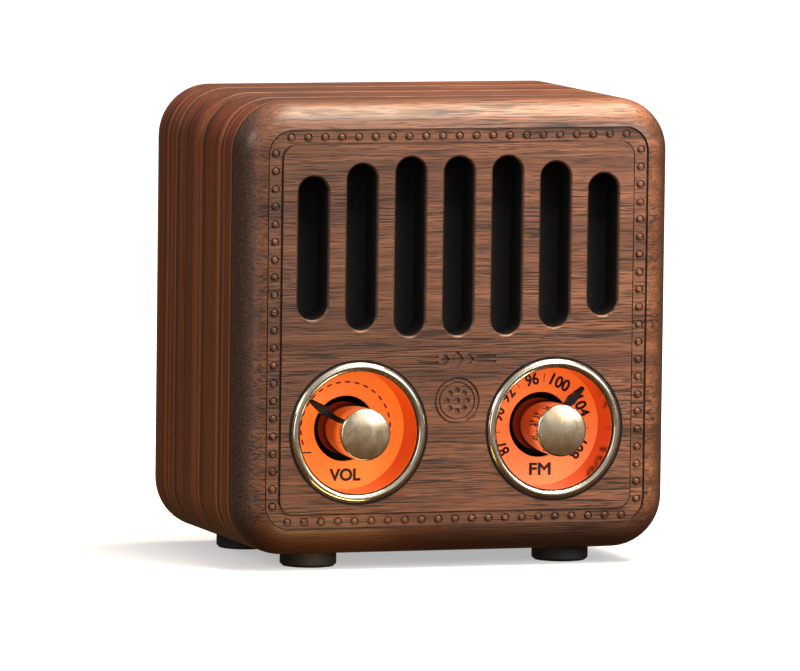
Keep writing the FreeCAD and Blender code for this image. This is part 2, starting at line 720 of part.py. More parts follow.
def rear_frame():
    """The last ring, with wood in its corners for the cover screws and a rebate for the cover."""
    body, block = layer_block("rear_frame", seam_three, dim.rear_layer)
    block = dress(body, "Chamfer", block, dim.seam_bevel, lies_at(seam_three))
    dress(body, "Fillet", block, dim.rear_round, lies_at(cabinet_depth))
    hollow(body, seam_three, dim.rear_layer, dim.screw_corner)
    rebate = front_drawing(body, cover_front)
    width = dim.cabinet_width - dim.cover_inset * 2
    height = dim.cabinet_height - dim.cover_inset * 2
    rebate.rounded_box(0, 0, width, height, dim.cover_corner)
    pocket(rebate, cabinet_depth - cover_front)
    cut_pilots(body, cover_screw_places, cover_front, dim.cover_thickness - cover_sink, cover_screw)
    cut_foot_pilots(body, dim.rear_foot_spread, cabinet_depth - dim.foot_edge)


def feet():
    """Four rubber feet with sunk screws."""
    for end, spread, depth in (
        ("front", dim.front_foot_spread, dim.foot_edge),
        ("rear", dim.rear_foot_spread, cabinet_depth - dim.foot_edge),
    ):
        for hand, side in (("left", -1), ("right", 1)):
            body = doc.addObject("PartDesign::Body", "body_foot_%s_%s" % (end, hand))
            place(body, spread * side, depth, -centre_z)
            keep(body, "foot_%s_%s" % (end, hand))
            hole = foot_screw.hole
            well = foot_screw.head + dim.moving_gap
            floor = dim.foot_height * 0.5
            revolve(body, [
                (hole, floor), (well, floor), (well, 0), (dim.foot_radius - 0.5, 0), (dim.foot_radius, 0.5),
                (dim.foot_radius, dim.foot_height), (hole, dim.foot_height),
            ], plane="XZ_Plane")
    foot_screws()


def foot_screws():
    """One screw up through each foot."""
    body = doc.addObject("PartDesign::Body", "body_foot_screws")
    place(body, 0, 0, -centre_z)
    keep(body, "foot_screws")
    head_top = dim.foot_height * 0.5
    front_pair = (dim.front_foot_spread, dim.foot_edge)
    rear_pair = (dim.rear_foot_spread, cabinet_depth - dim.foot_edge)
    heads = Drawing(body, "XY_Plane", head_top - foot_screw.cap)
    shanks = Drawing(body, "XY_Plane", head_top)
    drives = Drawing(body, "XY_Plane", head_top - foot_screw.cap)
    for spread, depth in (front_pair, rear_pair):
        for side in (-1, 1):
            heads.circle(spread * side, depth, foot_screw.head)
            shanks.circle(spread * side, depth, foot_screw.shank)
            drives.loop(regular_corners(spread * side, depth, 6, foot_screw.shank * 0.8))
    pad(heads, foot_screw.cap, upwards=True)
    pad(shanks, foot_screw.reach, upwards=True)
    pocket(drives, foot_screw.cap * 0.5, towards_front=True)


# ---- loudspeaker and its baffle ----

def grille_cloth():
    """Black cloth stretched behind the sound slots."""
    width = baffle_screw_x * 2 - 3
    height = dim.cloth_height
    box_piece("grille_cloth", 0, dim.front_wall, dim.speaker_height, width, dim.cloth_thickness, height)


def baffle_plate():
    """The plate that holds the cloth and the loudspeaker against the front."""
    body = new_body("baffle_plate")
    outline = front_drawing(body, cloth_back)
    width = inner_half_width * 2 - 2
    outline.rounded_box(0, dim.speaker_height, width, dim.baffle_height, dim.inner_corner)
    pad(outline, dim.baffle_thickness)
    mouth = front_drawing(body, cloth_back)
    mouth.circle(0, dim.speaker_height, dim.speaker_radius * 0.83)
    for x, z in baffle_screw_places:
        mouth.circle(x, z, baffle_screw.hole)
    for x, z in speaker_screw_places():
        mouth.circle(x, z, speaker_screw.hole)
    pocket(mouth, dim.baffle_thickness)
    screws("baffle_screws", baffle_screw_places, flange_front, baffle_screw, from_rear=True)


def speaker_screw_places():
    """Four holes in the loudspeaker's flange, between the axes."""
    reach = (dim.speaker_radius - dim.speaker_screw_inset) * math.sqrt(0.5)
    return [(reach * side, dim.speaker_height + reach * up) for side in (-1, 1) for up in (-1, 1)]


def speaker_ring(name, points, domes=()):
    """A piece turned about the loudspeaker's axis: radii are shares of the flange's, depths start at it."""
    body = new_body(name, 0, dim.speaker_height)
    moved = [(dim.speaker_radius * share, flange_front + depth) for share, depth in points]
    return body, revolve(body, moved, domes)


def speaker_basket():
    """The stamped basket, with four windows behind the cone and four holes in its flange."""
    rear = dim.basket_depth
    web = rear - dim.basket_wall
    rim = dim.flange_thickness
    step = rim + 0.2
    ledge = step + dim.basket_wall
    body = speaker_ring("speaker_basket", [
        (0.8125, 0), (1, 0), (1, rim), (0.86, rim), (0.67, rear), (0.49, rear), (0.49, web), (0.63, web),
        (0.78, ledge), (0.745, ledge), (0.745, step), (0.8125, step),
    ])[0]
    window = Drawing(body, "XY_Plane")
    inside = dim.speaker_radius * 0.55
    window_front = flange_front + ledge + 1.2
    window_back = flange_front + web - 1
    window.loop([
        (inside, window_front), (dim.speaker_radius, window_front),
        (dim.speaker_radius, window_back), (inside, window_back),
    ])
    cut = body.newObject("PartDesign::Pocket", "basket_window")
    cut.Profile = window.sketch
    cut.Midplane = True
    cut.setExpression("Length", (dim.speaker_radius * 0.65).text)
    doc.recompute()
    pattern = body.newObject("PartDesign::PolarPattern", "basket_windows")
    pattern.Originals = [cut]
    pattern.Axis = (origin_item(body, "Y_Axis"), [""])
    pattern.Angle = 360
    pattern.Occurrences = 4
    body.Tip = pattern
    doc.recompute()
    holes = front_drawing(body, flange_front)
    reach = (dim.speaker_radius - dim.speaker_screw_inset) * math.sqrt(0.5)
    for x, z in corner_places(reach, reach):
        holes.circle(x, z, speaker_screw.hole)
    pocket(holes, rim)


def loudspeaker():
    """Basket, surround, cone, dust cap, voice coil, spider, top plate, magnet and yoke."""
    speaker_basket()
    rear = dim.basket_depth
    web = rear - dim.basket_wall
    plate_back = rear + dim.plate_thickness
    magnet_back = plate_back + dim.magnet_length
    yoke_back = magnet_back + dim.plate_thickness
    magnet = dim.magnet_radius / dim.speaker_radius
    plate = magnet - 0.075
    speaker_ring("speaker_surround", [
        (0.63, 1.0), (0.66, 1.0), (0.68, 0.3), (0.725, 0.3), (0.745, 1.0), (0.81, 1.0),
        (0.81, 1.38), (0.735, 1.38), (0.715, 0.7), (0.69, 0.7), (0.67, 1.38), (0.63, 1.38),
    ])
    speaker_ring("speaker_cone", [(0.2675, 6.0), (0.645, 1.4), (0.645, 1.9), (0.2675, 6.5)])
    speaker_ring("speaker_dust_cap", [(0, 3.9), (0.285, 5.05), (0.285, 5.35), (0, 4.2)], domes=(0, 2))
    coil_back = plate_back + 0.6
    speaker_ring("speaker_voice_coil", [(0.2525, 6.2), (0.265, 6.2), (0.265, coil_back), (0.2525, coil_back)])
    speaker_ring("speaker_spider", [(0.266, web - 0.4), (0.62, web - 0.4), (0.62, web), (0.266, web)])
    speaker_ring("speaker_top_plate", [
        (0.285, rear), (plate, rear), (plate, plate_back), (0.285, plate_back),
    ])
    speaker_ring("speaker_magnet", [
        (0.4, plate_back), (magnet, plate_back), (magnet, magnet_back), (0.4, magnet_back),
    ])
    speaker_ring("speaker_yoke", [
        (0, rear + 0.2), (0.235, rear + 0.2), (0.235, magnet_back), (plate, magnet_back),
        (plate, yoke_back), (0, yoke_back),
    ])
    head_front = flange_front + dim.flange_thickness
    screws("speaker_screws", speaker_screw_places(), head_front, speaker_screw, from_rear=True)


# ---- dials, knobs and their controls ----

def dial_set(prefix, side, angle, control):
    """Everything on one dial's axis."""
    centre = dim.dial_spread * side
    tube = dim.bezel_tube + dim.fit_gap
    dial_edge = dim.bezel_tube

    def turned(name, points, domes=()):
        body = new_body(prefix + "_" + name, centre, dim.dial_height)
        return body, revolve(body, points, domes)

    turned("rim", [
        (dim.bezel_radius + dim.fit_gap, 0), (dim.rim_radius, 0), (dim.rim_radius, dim.front_wall),
        (tube, dim.front_wall), (tube, dim.bezel_flange), (dim.bezel_radius + dim.fit_gap, dim.bezel_flange),
    ])
    body, bezel = turned("bezel", [
        (dim.bezel_bore, -dim.bezel_proud), (dim.bezel_radius, -dim.bezel_proud),
        (dim.bezel_radius, dim.bezel_flange), (dim.bezel_tube, dim.bezel_flange),
        (dim.bezel_tube, dim.dial_depth), (dim.bezel_bore, dim.dial_depth),
    ])
    dress(body, "Fillet", bezel, (dim.bezel_radius - dim.bezel_bore) * 0.48, lies_at(-dim.bezel_proud))
    turned("dial", [
        (dim.dial_hole, dim.dial_depth), (dial_edge, dim.dial_depth),
        (dial_edge, dial_back), (dim.dial_hole, dial_back),
    ])
    cup_bore = dial_edge + dim.fit_gap
    cup_outside = cup_bore + dim.cup_wall
    sleeve = dim.dial_hole + 0.1
    shoulder = cup_bore - dim.cup_shoulder
    floor = bracket_front - 1
    turned("light_cup", [
        (cup_bore, dim.dial_depth), (cup_outside, dim.dial_depth), (cup_outside, bracket_front),
        (sleeve, bracket_front), (sleeve, dial_back), (sleeve + dim.cup_wall, dial_back),
        (sleeve + dim.cup_wall, floor), (shoulder, floor), (shoulder, dial_back), (cup_bore, dial_back),
    ])
    lamp_board(prefix, centre, sleeve + dim.cup_wall + 0.2, shoulder - 0.2, floor)
    control(prefix, centre)
    bushing_nut(prefix, centre)
    knob_and_shaft(prefix, centre, angle)
    pointer(prefix, centre, angle)


def lamp_board(prefix, centre, inside, outside, floor):
    """A ring board with six lamps, on the floor of the light cup."""
    body = new_body(prefix + "_lamp_board", centre, dim.dial_height)
    front = floor - dim.lamp_board_thickness
    board = front_drawing(body, front)
    board.circle(0, 0, outside)
    board.circle(0, 0, inside)
    pad(board, dim.lamp_board_thickness)
    lamps = front_drawing(body, front - dim.lamp_height)
    reach = (inside + outside) / 2
    for index in range(6):
        turn = math.pi / 3 * index
        lamps.circle(reach * math.cos(turn), reach * math.sin(turn), dim.lamp_radius)
    pad(lamps, dim.lamp_height)


def control_bore(body):
    """The bore that the shaft turns in."""
    bore = front_drawing(body, dim.bushing_front)
    bore.circle(0, 0, dim.shaft_radius + dim.running_gap)
    pocket(bore, dim.shaft_end + dim.moving_gap - dim.bushing_front)


def potentiometer(prefix, centre):
    """The round control behind the volume knob, with its bushing and terminal rail."""
    body = new_body(prefix + "_potentiometer", centre, dim.dial_height)
    can = front_drawing(body, bracket_back)
    can.circle(0, 0, dim.control_body)
    pad(can, dim.control_length)
    bushing = front_drawing(body, dim.bushing_front)
    bushing.circle(0, 0, dim.bushing_radius)
    pad(bushing, bracket_back - dim.bushing_front)
    rail = front_drawing(body, bracket_back + 1)
    rail.rounded_box(0, dim.control_body - 0.9, 13, 4.4, 0.5)
    pad(rail, 1.6)
    control_bore(body)


def tuning_capacitor(prefix, centre):
    """The square tuning capacitor behind the tuning knob, with its bushing."""
    body = new_body(prefix + "_capacitor", centre, dim.dial_height)
    case = front_drawing(body, bracket_back)
    width = dim.control_body * 2
    case.rounded_box(0, 0, width, width, 1.2)
    pad(case, dim.control_length)
    bushing = front_drawing(body, dim.bushing_front)
    bushing.circle(0, 0, dim.bushing_radius)
    pad(bushing, bracket_back - dim.bushing_front)
    control_bore(body)


def bushing_nut(prefix, centre):
    """The hexagon nut that clamps a control to the bracket."""
    body = new_body(prefix + "_nut", centre, dim.dial_height)
    nut = front_drawing(body, bracket_front - dim.nut_thickness)
    nut.loop(regular_corners(0, 0, 6, dim.nut_radius))
    nut.circle(0, 0, dim.bushing_radius + dim.fit_gap)
    pad(nut, dim.nut_thickness)


def turn(body, angle):
    """Turn a piece about its dial's axis."""
    rotation = FreeCAD.Rotation(FreeCAD.Vector(0, 1, 0), angle.value)
    body.Placement = FreeCAD.Placement(body.Placement.Base, rotation)
    body.setExpression("Placement.Rotation.Angle", angle.text)


def knob_and_shaft(prefix, centre, angle):
    """The brass knob, bored for the shaft and slotted for the pointer, and the shaft."""
    tip = -dim.knob_proud
    shoulder = tip + dim.knob_crown
    knob_back = tip + dim.knob_length
    bore_end = as_size(0)
    bore = dim.shaft_radius + dim.fit_gap
    body = new_body(prefix + "_knob", centre, dim.dial_height)
    knob = revolve(body, [
        (0, tip), (dim.knob_flat, tip), (dim.knob_radius, shoulder), (dim.knob_radius, knob_back),
        (bore, knob_back), (bore, bore_end), (0, bore_end),
    ], domes=(1,))
    dress(body, "Fillet", knob, dim.knob_edge, lies_at(shoulder))
    seat = front_drawing(body, dim.pointer_front - dim.fit_gap)
    half = dim.pointer_root / 2 + dim.fit_gap
    inner = dim.knob_radius - dim.pointer_sunk
    outer = dim.knob_radius + 0.5
    seat.loop([(-half, inner), (half, inner), (half, outer), (-half, outer)])
    pocket(seat, dim.pointer_thickness + dim.fit_gap * 2)
    turn(body, angle)
    shaft = new_body(prefix + "_shaft", centre, dim.dial_height)
    start = bore_end + dim.fit_gap
    end = dim.shaft_end
    revolve(shaft, [(0, start), (dim.shaft_radius, start), (dim.shaft_radius, end), (0, end)])


def pointer(prefix, centre, angle):
    """A slim black pointer, let into the side of the knob and turned to its angle at rest."""
    body = new_body(prefix + "_pointer", centre, dim.dial_height)
    root = dim.knob_radius - dim.pointer_sunk + dim.fit_gap
    needle = front_drawing(body, dim.pointer_front)
    belly = dim.knob_radius * 0.65 + dim.pointer_reach * 0.35
    neck = dim.knob_radius + 0.4
    shoulder = dim.pointer_reach - 0.2
    narrow = dim.pointer_root / 2
    wide = dim.pointer_belly / 2
    tip = dim.pointer_tip / 2
    needle.loop([
        (-narrow, root), (narrow, root), (narrow, neck), (wide, belly), (tip, shoulder),
        (0, dim.pointer_reach), (-tip, shoulder), (-wide, belly), (-narrow, neck),
    ])
    blade = pad(needle, dim.pointer_thickness)
    dress(body, "Chamfer", blade, dim.pointer_tip * 0.35, on_the_blade)
    turn(body, angle)


def on_the_blade(edge):
    """The long front edges of a pointer, outside the knob."""
    box = edge.BoundBox
    return lies_at(dim.pointer_front)(edge) and box.ZMin > dim.knob_radius.value + 0.3


def control_bracket():
    """The steel plate that carries both controls, on four standoffs from the front panel."""
    body = new_body("control_bracket")
    low = dim.dial_height - dim.bracket_below
    high = dim.dial_height + dim.bracket_above
    plate = front_drawing(body, bracket_front)
    width = inner_half_width * 2 - 3
    plate.rounded_box(0, (low + high) / 2, width, high - low, dim.bracket_corner)
    pad(plate, dim.bracket_thickness)
    holes = front_drawing(body, bracket_front)
    for side in (-1, 1):
        holes.circle(dim.dial_spread * side, dim.dial_height, dim.bushing_radius + dim.fit_gap)
    for x, z in standoff_places:
        holes.circle(x, z, bracket_screw.hole)
    pocket(holes, dim.bracket_thickness)
    standoffs = new_body("bracket_standoffs")
    posts = front_drawing(standoffs, dim.front_wall)
    for x, z in standoff_places:
        posts.loop(regular_corners(x, z, 6, dim.standoff_radius))
    pad(posts, bracket_front - dim.front_wall)
    cut_pilots(standoffs, standoff_places, bracket_front, dim.bracket_thickness, bracket_screw)
    screws("bracket_screws", standoff_places, bracket_back, bracket_screw, from_rear=True)


# ---- rear cover, main board and battery ----

lens_x = dim.socket_spread / 2 + 1
board_screw_places = [
    (dim.board_width * 0.43 * side, dim.board_centre + dim.board_height * 0.38 * up)
    for side in (-1, 1) for up in (-1, 1)
]


def rear_cover():
    """The black rear cover, with posts for the board and openings for the sockets and the switch."""
    body = new_body("rear_cover")
    width = dim.cabinet_width - dim.cover_inset * 2 - dim.panel_gap * 2
    height = dim.cabinet_height - dim.cover_inset * 2 - dim.panel_gap * 2
    corner = dim.cover_corner - dim.panel_gap
    plate = front_drawing(body, cover_front)
    plate.rounded_box(0, 0, width, height, corner)
    solid = pad(plate, dim.cover_thickness)
    dress(body, "Chamfer", solid, dim.cover_bevel, lies_at(cover_back))
    posts = front_drawing(body, board_back)
    for x, z in board_screw_places:
        posts.circle(x, z, dim.post_radius)
    pad(posts, dim.board_gap)
    cut_pilots(body, board_screw_places, board_back, dim.board_thickness, board_screw, towards_front=False)
    level = dim.board_centre
    field = front_drawing(body, cover_back)
    field_width = (dim.socket_spread + dim.field_margin) * 2
    field.rounded_box(0, level, field_width, dim.field_height, 3)
    pocket(field, dim.field_sunk, towards_front=True)
    openings = front_drawing(body, cover_front)
    gap = dim.socket_gap
    openings.level_slot(dim.socket_spread, level, dim.usb_width + gap * 2, dim.usb_height / 2 + gap)
    openings.circle(-dim.socket_spread, level, dim.aux_radius + gap)
    slot_length = dim.switch_stem + dim.switch_travel + dim.moving_gap * 2
    slot_height = dim.switch_stem + dim.moving_gap * 2
    openings.rounded_box(0, level, slot_length, slot_height, 0.3)
    openings.circle(lens_x, level, dim.lens_radius + dim.fit_gap)
    for x, z in cover_screw_places:
        openings.circle(x, z, cover_screw.hole)
    pocket(openings, dim.cover_thickness)
    well = front_drawing(body, cover_back)
    well_length = dim.switch_thumb + dim.switch_travel + dim.moving_gap * 2
    well_height = dim.switch_thumb * 1.2 + dim.moving_gap * 2
    well.rounded_box(0, level, well_length, well_height, 0.6)
    pocket(well, dim.switch_well, towards_front=True)
    sinks = front_drawing(body, cover_back)
    for x, z in cover_screw_places:
        sinks.circle(x, z, cover_screw.head + dim.moving_gap)
    pocket(sinks, cover_sink, towards_front=True)
    grip = front_drawing(body, cover_back)
    for index in range(-2, 3):
        grip.level_slot(0, dim.battery_centre + dim.grip_pitch * index, dim.grip_length, dim.grip_radius)
    pocket(grip, dim.grip_depth, towards_front=True)
    screws("cover_screws", cover_screw_places, cover_back - cover_sink, cover_screw, from_rear=True)


def main_board():
    """The circuit board with its modules, on the cover's posts."""
    body = new_body("main_board")
    board = front_drawing(body, board_front)
    board.rounded_box(0, dim.board_centre, dim.board_width, dim.board_height, 1.5)
    pad(board, dim.board_thickness)
    holes = front_drawing(body, board_front)
    for x, z in board_screw_places:
        holes.circle(x, z, board_screw.hole)
    pocket(holes, dim.board_thickness)
    screws("board_screws", board_screw_places, board_front - board_screw.cap, board_screw)
    box_piece("radio_module", -9, board_front - 2.2, dim.board_centre, 14, 2.2, 12)
    box_piece("amplifier_chip", 6, board_front - 1.4, dim.board_centre + 3, 6, 1.4, 5)
    capacitors = new_body("board_capacitors")
    cans = front_drawing(capacitors, board_front - 5.5)
    for x, z in ((14.5, 4), (14.5, -4), (6, -6)):
        cans.circle(x, dim.board_centre + z, 2.2)
    pad(cans, 5.5)


def sockets():
    """The charging socket and the audio socket, open at the rear."""
    level = dim.board_centre
    mouth = cover_back - dim.field_sunk
    usb = new_body("usb_socket")
    shell = front_drawing(usb, board_back)
    shell.level_slot(dim.socket_spread, level, dim.usb_width, dim.usb_height / 2)
    pad(shell, mouth - board_back)
    cavity = front_drawing(usb, mouth)
    wall = dim.usb_wall
    cavity.level_slot(dim.socket_spread, level, dim.usb_width - wall * 2, dim.usb_height / 2 - wall)
    pocket(cavity, dim.usb_depth, towards_front=True)
    tongue = front_drawing(usb, mouth - dim.usb_depth)
    tongue.rounded_box(dim.socket_spread, level, dim.usb_width - 2.4, 0.7, 0.2)
    pad(tongue, dim.usb_tongue)
    aux = new_body("aux_socket")
    barrel = front_drawing(aux, board_back)
    barrel.circle(-dim.socket_spread, level, dim.aux_radius)
    pad(barrel, mouth - board_back)
    hole = front_drawing(aux, mouth)
    hole.circle(-dim.socket_spread, level, dim.aux_bore)
    pocket(hole, mouth - board_back - 1, towards_front=True)


def slide_switch():
    """The power switch: its body on the board, and the slider that comes out through the cover."""
    level = dim.board_centre
    rest = -dim.switch_travel / 2
    body_length = cover_front - board_back - 2.2
    box_piece("switch_body", 0, board_back, level, 11, body_length, 5)
    slider = new_body("switch_slider")
    base_front = board_back + body_length + dim.moving_gap
    thumb_front = cover_back - dim.switch_well + dim.moving_gap
    base = front_drawing(slider, base_front)
    base.rounded_box(rest, level, 4, 3.6, 0.4)
    pad(base, cover_front - dim.moving_gap - base_front)
    stem = front_drawing(slider, base_front)
    stem.rounded_box(rest, level, dim.switch_stem, dim.switch_stem, 0.3)
    pad(stem, thumb_front - base_front)
    thumb = front_drawing(slider, thumb_front)
    thumb.rounded_box(rest, level, dim.switch_thumb, dim.switch_thumb * 1.2, 0.4)
    pad(thumb, cabinet_depth + dim.switch_proud - thumb_front)
    lens = new_body("status_lens")
    lens_front = cover_front - 1
    light = front_drawing(lens, lens_front)
    light.circle(lens_x, level, dim.lens_radius)
    pad(light, cover_back - 0.4 - lens_front)


def battery_and_tray():
    """The flat battery in its tray on the rear cover, and the aerial strip under the cabinet's top."""
    tray = new_body("battery_tray")
    floor = cover_front - dim.tray_wall
    block = front_drawing(tray, floor - dim.battery_depth)
    room_width = dim.battery_width + dim.tray_gap * 2
    room_height = dim.battery_height + dim.tray_gap * 2
    width = room_width + dim.tray_wall * 2
    height = room_height + dim.tray_wall * 2
    block.rounded_box(0, dim.battery_centre, width, height, 2)
    pad(block, dim.battery_depth + dim.tray_wall)
    room = front_drawing(tray, floor - dim.battery_depth)
    room.rounded_box(0, dim.battery_centre, room_width, room_height, 1)
    pocket(room, dim.battery_depth)
    cell = new_body("battery")
    body = front_drawing(cell, floor - dim.battery_depth)
    body.rounded_box(0, dim.battery_centre, dim.battery_width, dim.battery_height, 1.2)
    pad(body, dim.battery_depth)
    strip_level = inner_half_height - 0.15
    box_piece("antenna_strip", 0, seam_one + 2, strip_level, 50, 12, 0.3)


def build():
    """Make every piece."""
    front_panel()
    middle_frame("middle_frame_front", seam_one)
    middle_frame("middle_frame_rear", seam_two)
    rear_frame()
    feet()
    grille_cloth()
    baffle_plate()
    loudspeaker()
    dial_set("volume", -1, dim.volume_angle, potentiometer)
    dial_set("tuning", 1, dim.tuning_angle, tuning_capacitor)
    control_bracket()
    rear_cover()
    main_board()
    sockets()
    slide_switch()
    battery_and_tray()
    doc.recompute()


def write():
    """Check every object and write one STEP file for each piece."""
    for item in doc.Objects:
        if "Invalid" in item.State or "Error" in item.State:
            raise RuntimeError("%s (%s) failed: %s" % (item.Name, item.Label, item.State))
    os.makedirs("parts", exist_ok=True)
    for item in nodes:
        if item.Shape.isNull() or not item.Shape.isValid():
            raise RuntimeError(item.Label + " has no valid shape")
        item.Shape.exportStep("parts/" + item.Label + ".step")
    print(len(nodes), "pieces written")


build()
write()
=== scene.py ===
"""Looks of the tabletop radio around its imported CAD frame. Everything is in metres, in the row's frame."""
import math

import bmesh
import bpy
from mathutils import Matrix, Vector


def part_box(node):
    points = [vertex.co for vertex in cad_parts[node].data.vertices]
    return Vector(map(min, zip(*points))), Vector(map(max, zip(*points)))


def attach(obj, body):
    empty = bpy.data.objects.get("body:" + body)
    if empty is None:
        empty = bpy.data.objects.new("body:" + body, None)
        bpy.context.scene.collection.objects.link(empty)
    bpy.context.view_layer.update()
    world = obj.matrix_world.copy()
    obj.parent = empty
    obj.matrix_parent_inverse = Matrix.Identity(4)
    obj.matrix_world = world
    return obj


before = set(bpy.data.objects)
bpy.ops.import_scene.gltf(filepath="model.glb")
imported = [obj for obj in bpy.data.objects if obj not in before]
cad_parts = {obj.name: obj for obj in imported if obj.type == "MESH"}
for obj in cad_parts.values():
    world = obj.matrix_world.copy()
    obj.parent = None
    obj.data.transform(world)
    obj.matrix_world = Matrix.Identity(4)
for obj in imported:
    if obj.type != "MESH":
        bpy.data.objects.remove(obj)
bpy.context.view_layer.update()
MM = 0.001
FRONT_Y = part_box("front_panel")[0][1]
DIAL_Z = (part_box("volume_dial")[0][2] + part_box("volume_dial")[1][2]) / 2
DIAL_X = (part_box("tuning_dial")[0][0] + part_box("tuning_dial")[1][0]) / 2
DIAL_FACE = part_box("volume_dial")[0][1]
DIAL_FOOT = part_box("volume_dial")[0][2]
MIDDLE_Z = (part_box("front_panel")[0][2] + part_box("front_panel")[1][2]) / 2
CABINET_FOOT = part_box("front_panel")[0][2]
scene = bpy.context.scene


# ---- camera ----
def place_camera():
    """The photograph's viewpoint: far away, to the left and a little above, with a slight roll."""
    azimuth, elevation, roll = (math.radians(a) for a in (-18.229, 5.224, 0.699))
    across, lift, distance = -10.954 * MM, -1.613 * MM, 1893.47 * MM
    right = Vector((math.cos(azimuth), math.sin(azimuth), 0))
    back = Vector((math.sin(azimuth) * math.cos(elevation), -math.cos(azimuth) * math.cos(elevation),
                   math.sin(elevation)))
    up = back.cross(right)
    spot = Vector((0, FRONT_Y, MIDDLE_Z)) + across * right + lift * up + distance * back
    turned_right = math.cos(roll) * right + math.sin(roll) * up
    turned_up = math.cos(roll) * up - math.sin(roll) * right
    data = bpy.data.cameras.new("camera")
    data.sensor_width = 36
    data.lens = 450
    data.clip_start = 0.05
    data.clip_end = 60
    camera = bpy.data.objects.new("camera", data)
    axes = Matrix((turned_right, turned_up, back)).transposed().to_4x4()
    camera.matrix_world = Matrix.Translation(spot) @ axes
    scene.collection.objects.link(camera)
    scene.camera = camera


# ---- shader helpers ----
class Shader:
    """A material under construction: a Principled BSDF and the nodes that feed it."""

    def __init__(self, name, **settings):
        self.material = bpy.data.materials.new(name)
        self.material.use_nodes = True
        self.nodes = self.material.node_tree.nodes
        self.links = self.material.node_tree.links
        self.nodes.clear()
        self.surface = self.nodes.new("ShaderNodeBsdfPrincipled")
        output = self.nodes.new("ShaderNodeOutputMaterial")
        self.links.new(self.surface.outputs[0], output.inputs["Surface"])
        for key, value in settings.items():
            self.surface.inputs[key.replace("_", " ")].default_value = value

    def put(self, target, value):
        """Set a socket to a number or colour, or link it to another socket."""
        if isinstance(value, bpy.types.NodeSocket):
            self.links.new(value, target)
        elif isinstance(value, (tuple, list)) and target.type == "RGBA" and len(value) == 3:
            target.default_value = (*value, 1)
        else:
            target.default_value = value

    def feed(self, name, value):
        self.put(self.surface.inputs[name], value)

    def node(self, kind, inputs=(), **properties):
        made = self.nodes.new("ShaderNode" + kind)
        for key, value in properties.items():
            setattr(made, key, value)
        for index, value in dict(inputs).items():
            self.put(made.inputs[index], value)
        return made

    def maths(self, operation, first, second=0.0, third=0.0):
        return self.node("Math", {0: first, 1: second, 2: third}, operation=operation).outputs[0]

    def place(self, scale=(1, 1, 1), shift=(0, 0, 0)):
        """Object coordinates in millimetres, scaled along each axis."""
        coordinates = self.node("TexCoord").outputs["Object"]
        return self.node("Mapping", {"Vector": coordinates, "Scale": [1000 * s for s in scale],
                                     "Location": shift}).outputs[0]

    def along(self, axis):
        """Position along one axis, in millimetres."""
        return self.node("SeparateXYZ", {0: self.place()}).outputs[axis]

    def facing(self, axis):
        """How squarely the surface faces along an axis, from 0 to 1, whichever way it points."""
        normal = self.node("TexCoord").outputs["Normal"]
        return self.maths("ABSOLUTE", self.node("SeparateXYZ", {0: normal}).outputs[axis])

    def noise(self, scale, detail=4.0, rough=0.5, twist=0.0, shift=(0, 0, 0)):
        """Noise from 0 to 1, with its frequency per millimetre along each axis."""
        return self.node("TexNoise", {"Vector": self.place(scale, shift), "Scale": 1.0, "Detail": detail,
                                      "Roughness": rough, "Distortion": twist}).outputs["Fac"]

    def step(self, value, low, high, start=0.0, end=1.0):
        """A smooth step from start to end as the value goes from low to high."""
        return self.node("MapRange", {0: value, 1: low, 2: high, 3: start, 4: end},
                         interpolation_type="SMOOTHSTEP").outputs[0]

    def ramp(self, value, *stops):
        made = self.node("ValToRGB", {0: value})
        elements = made.color_ramp.elements
        while len(elements) < len(stops):
            elements.new(0.5)
        for element, (place, colour) in zip(elements, stops):
            element.position = place
            element.color = (*colour, 1)
        return made.outputs[0]

    def mix(self, amount, first, second, blend="MIX"):
        inputs = {0: amount, 6: first, 7: second}
        return self.node("Mix", inputs, data_type="RGBA", blend_type=blend).outputs[2]

    def bump(self, height, distance_mm, strength=1.0, after=None):
        inputs = {"Height": height, "Distance": distance_mm * MM, "Strength": strength}
        if after is not None:
            inputs["Normal"] = after
        return self.node("Bump", inputs).outputs[0]


# ---- wood ----
TURNED_LINE = 6.55
SEAMS = [TURNED_LINE] + [(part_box(name)[0][1] - FRONT_Y) / MM
                         for name in ("middle_frame_front", "middle_frame_rear", "rear_frame")]
INSIDE = 36.4, 36.8
INNER_BLACK = (0.004, 0.004, 0.0045)


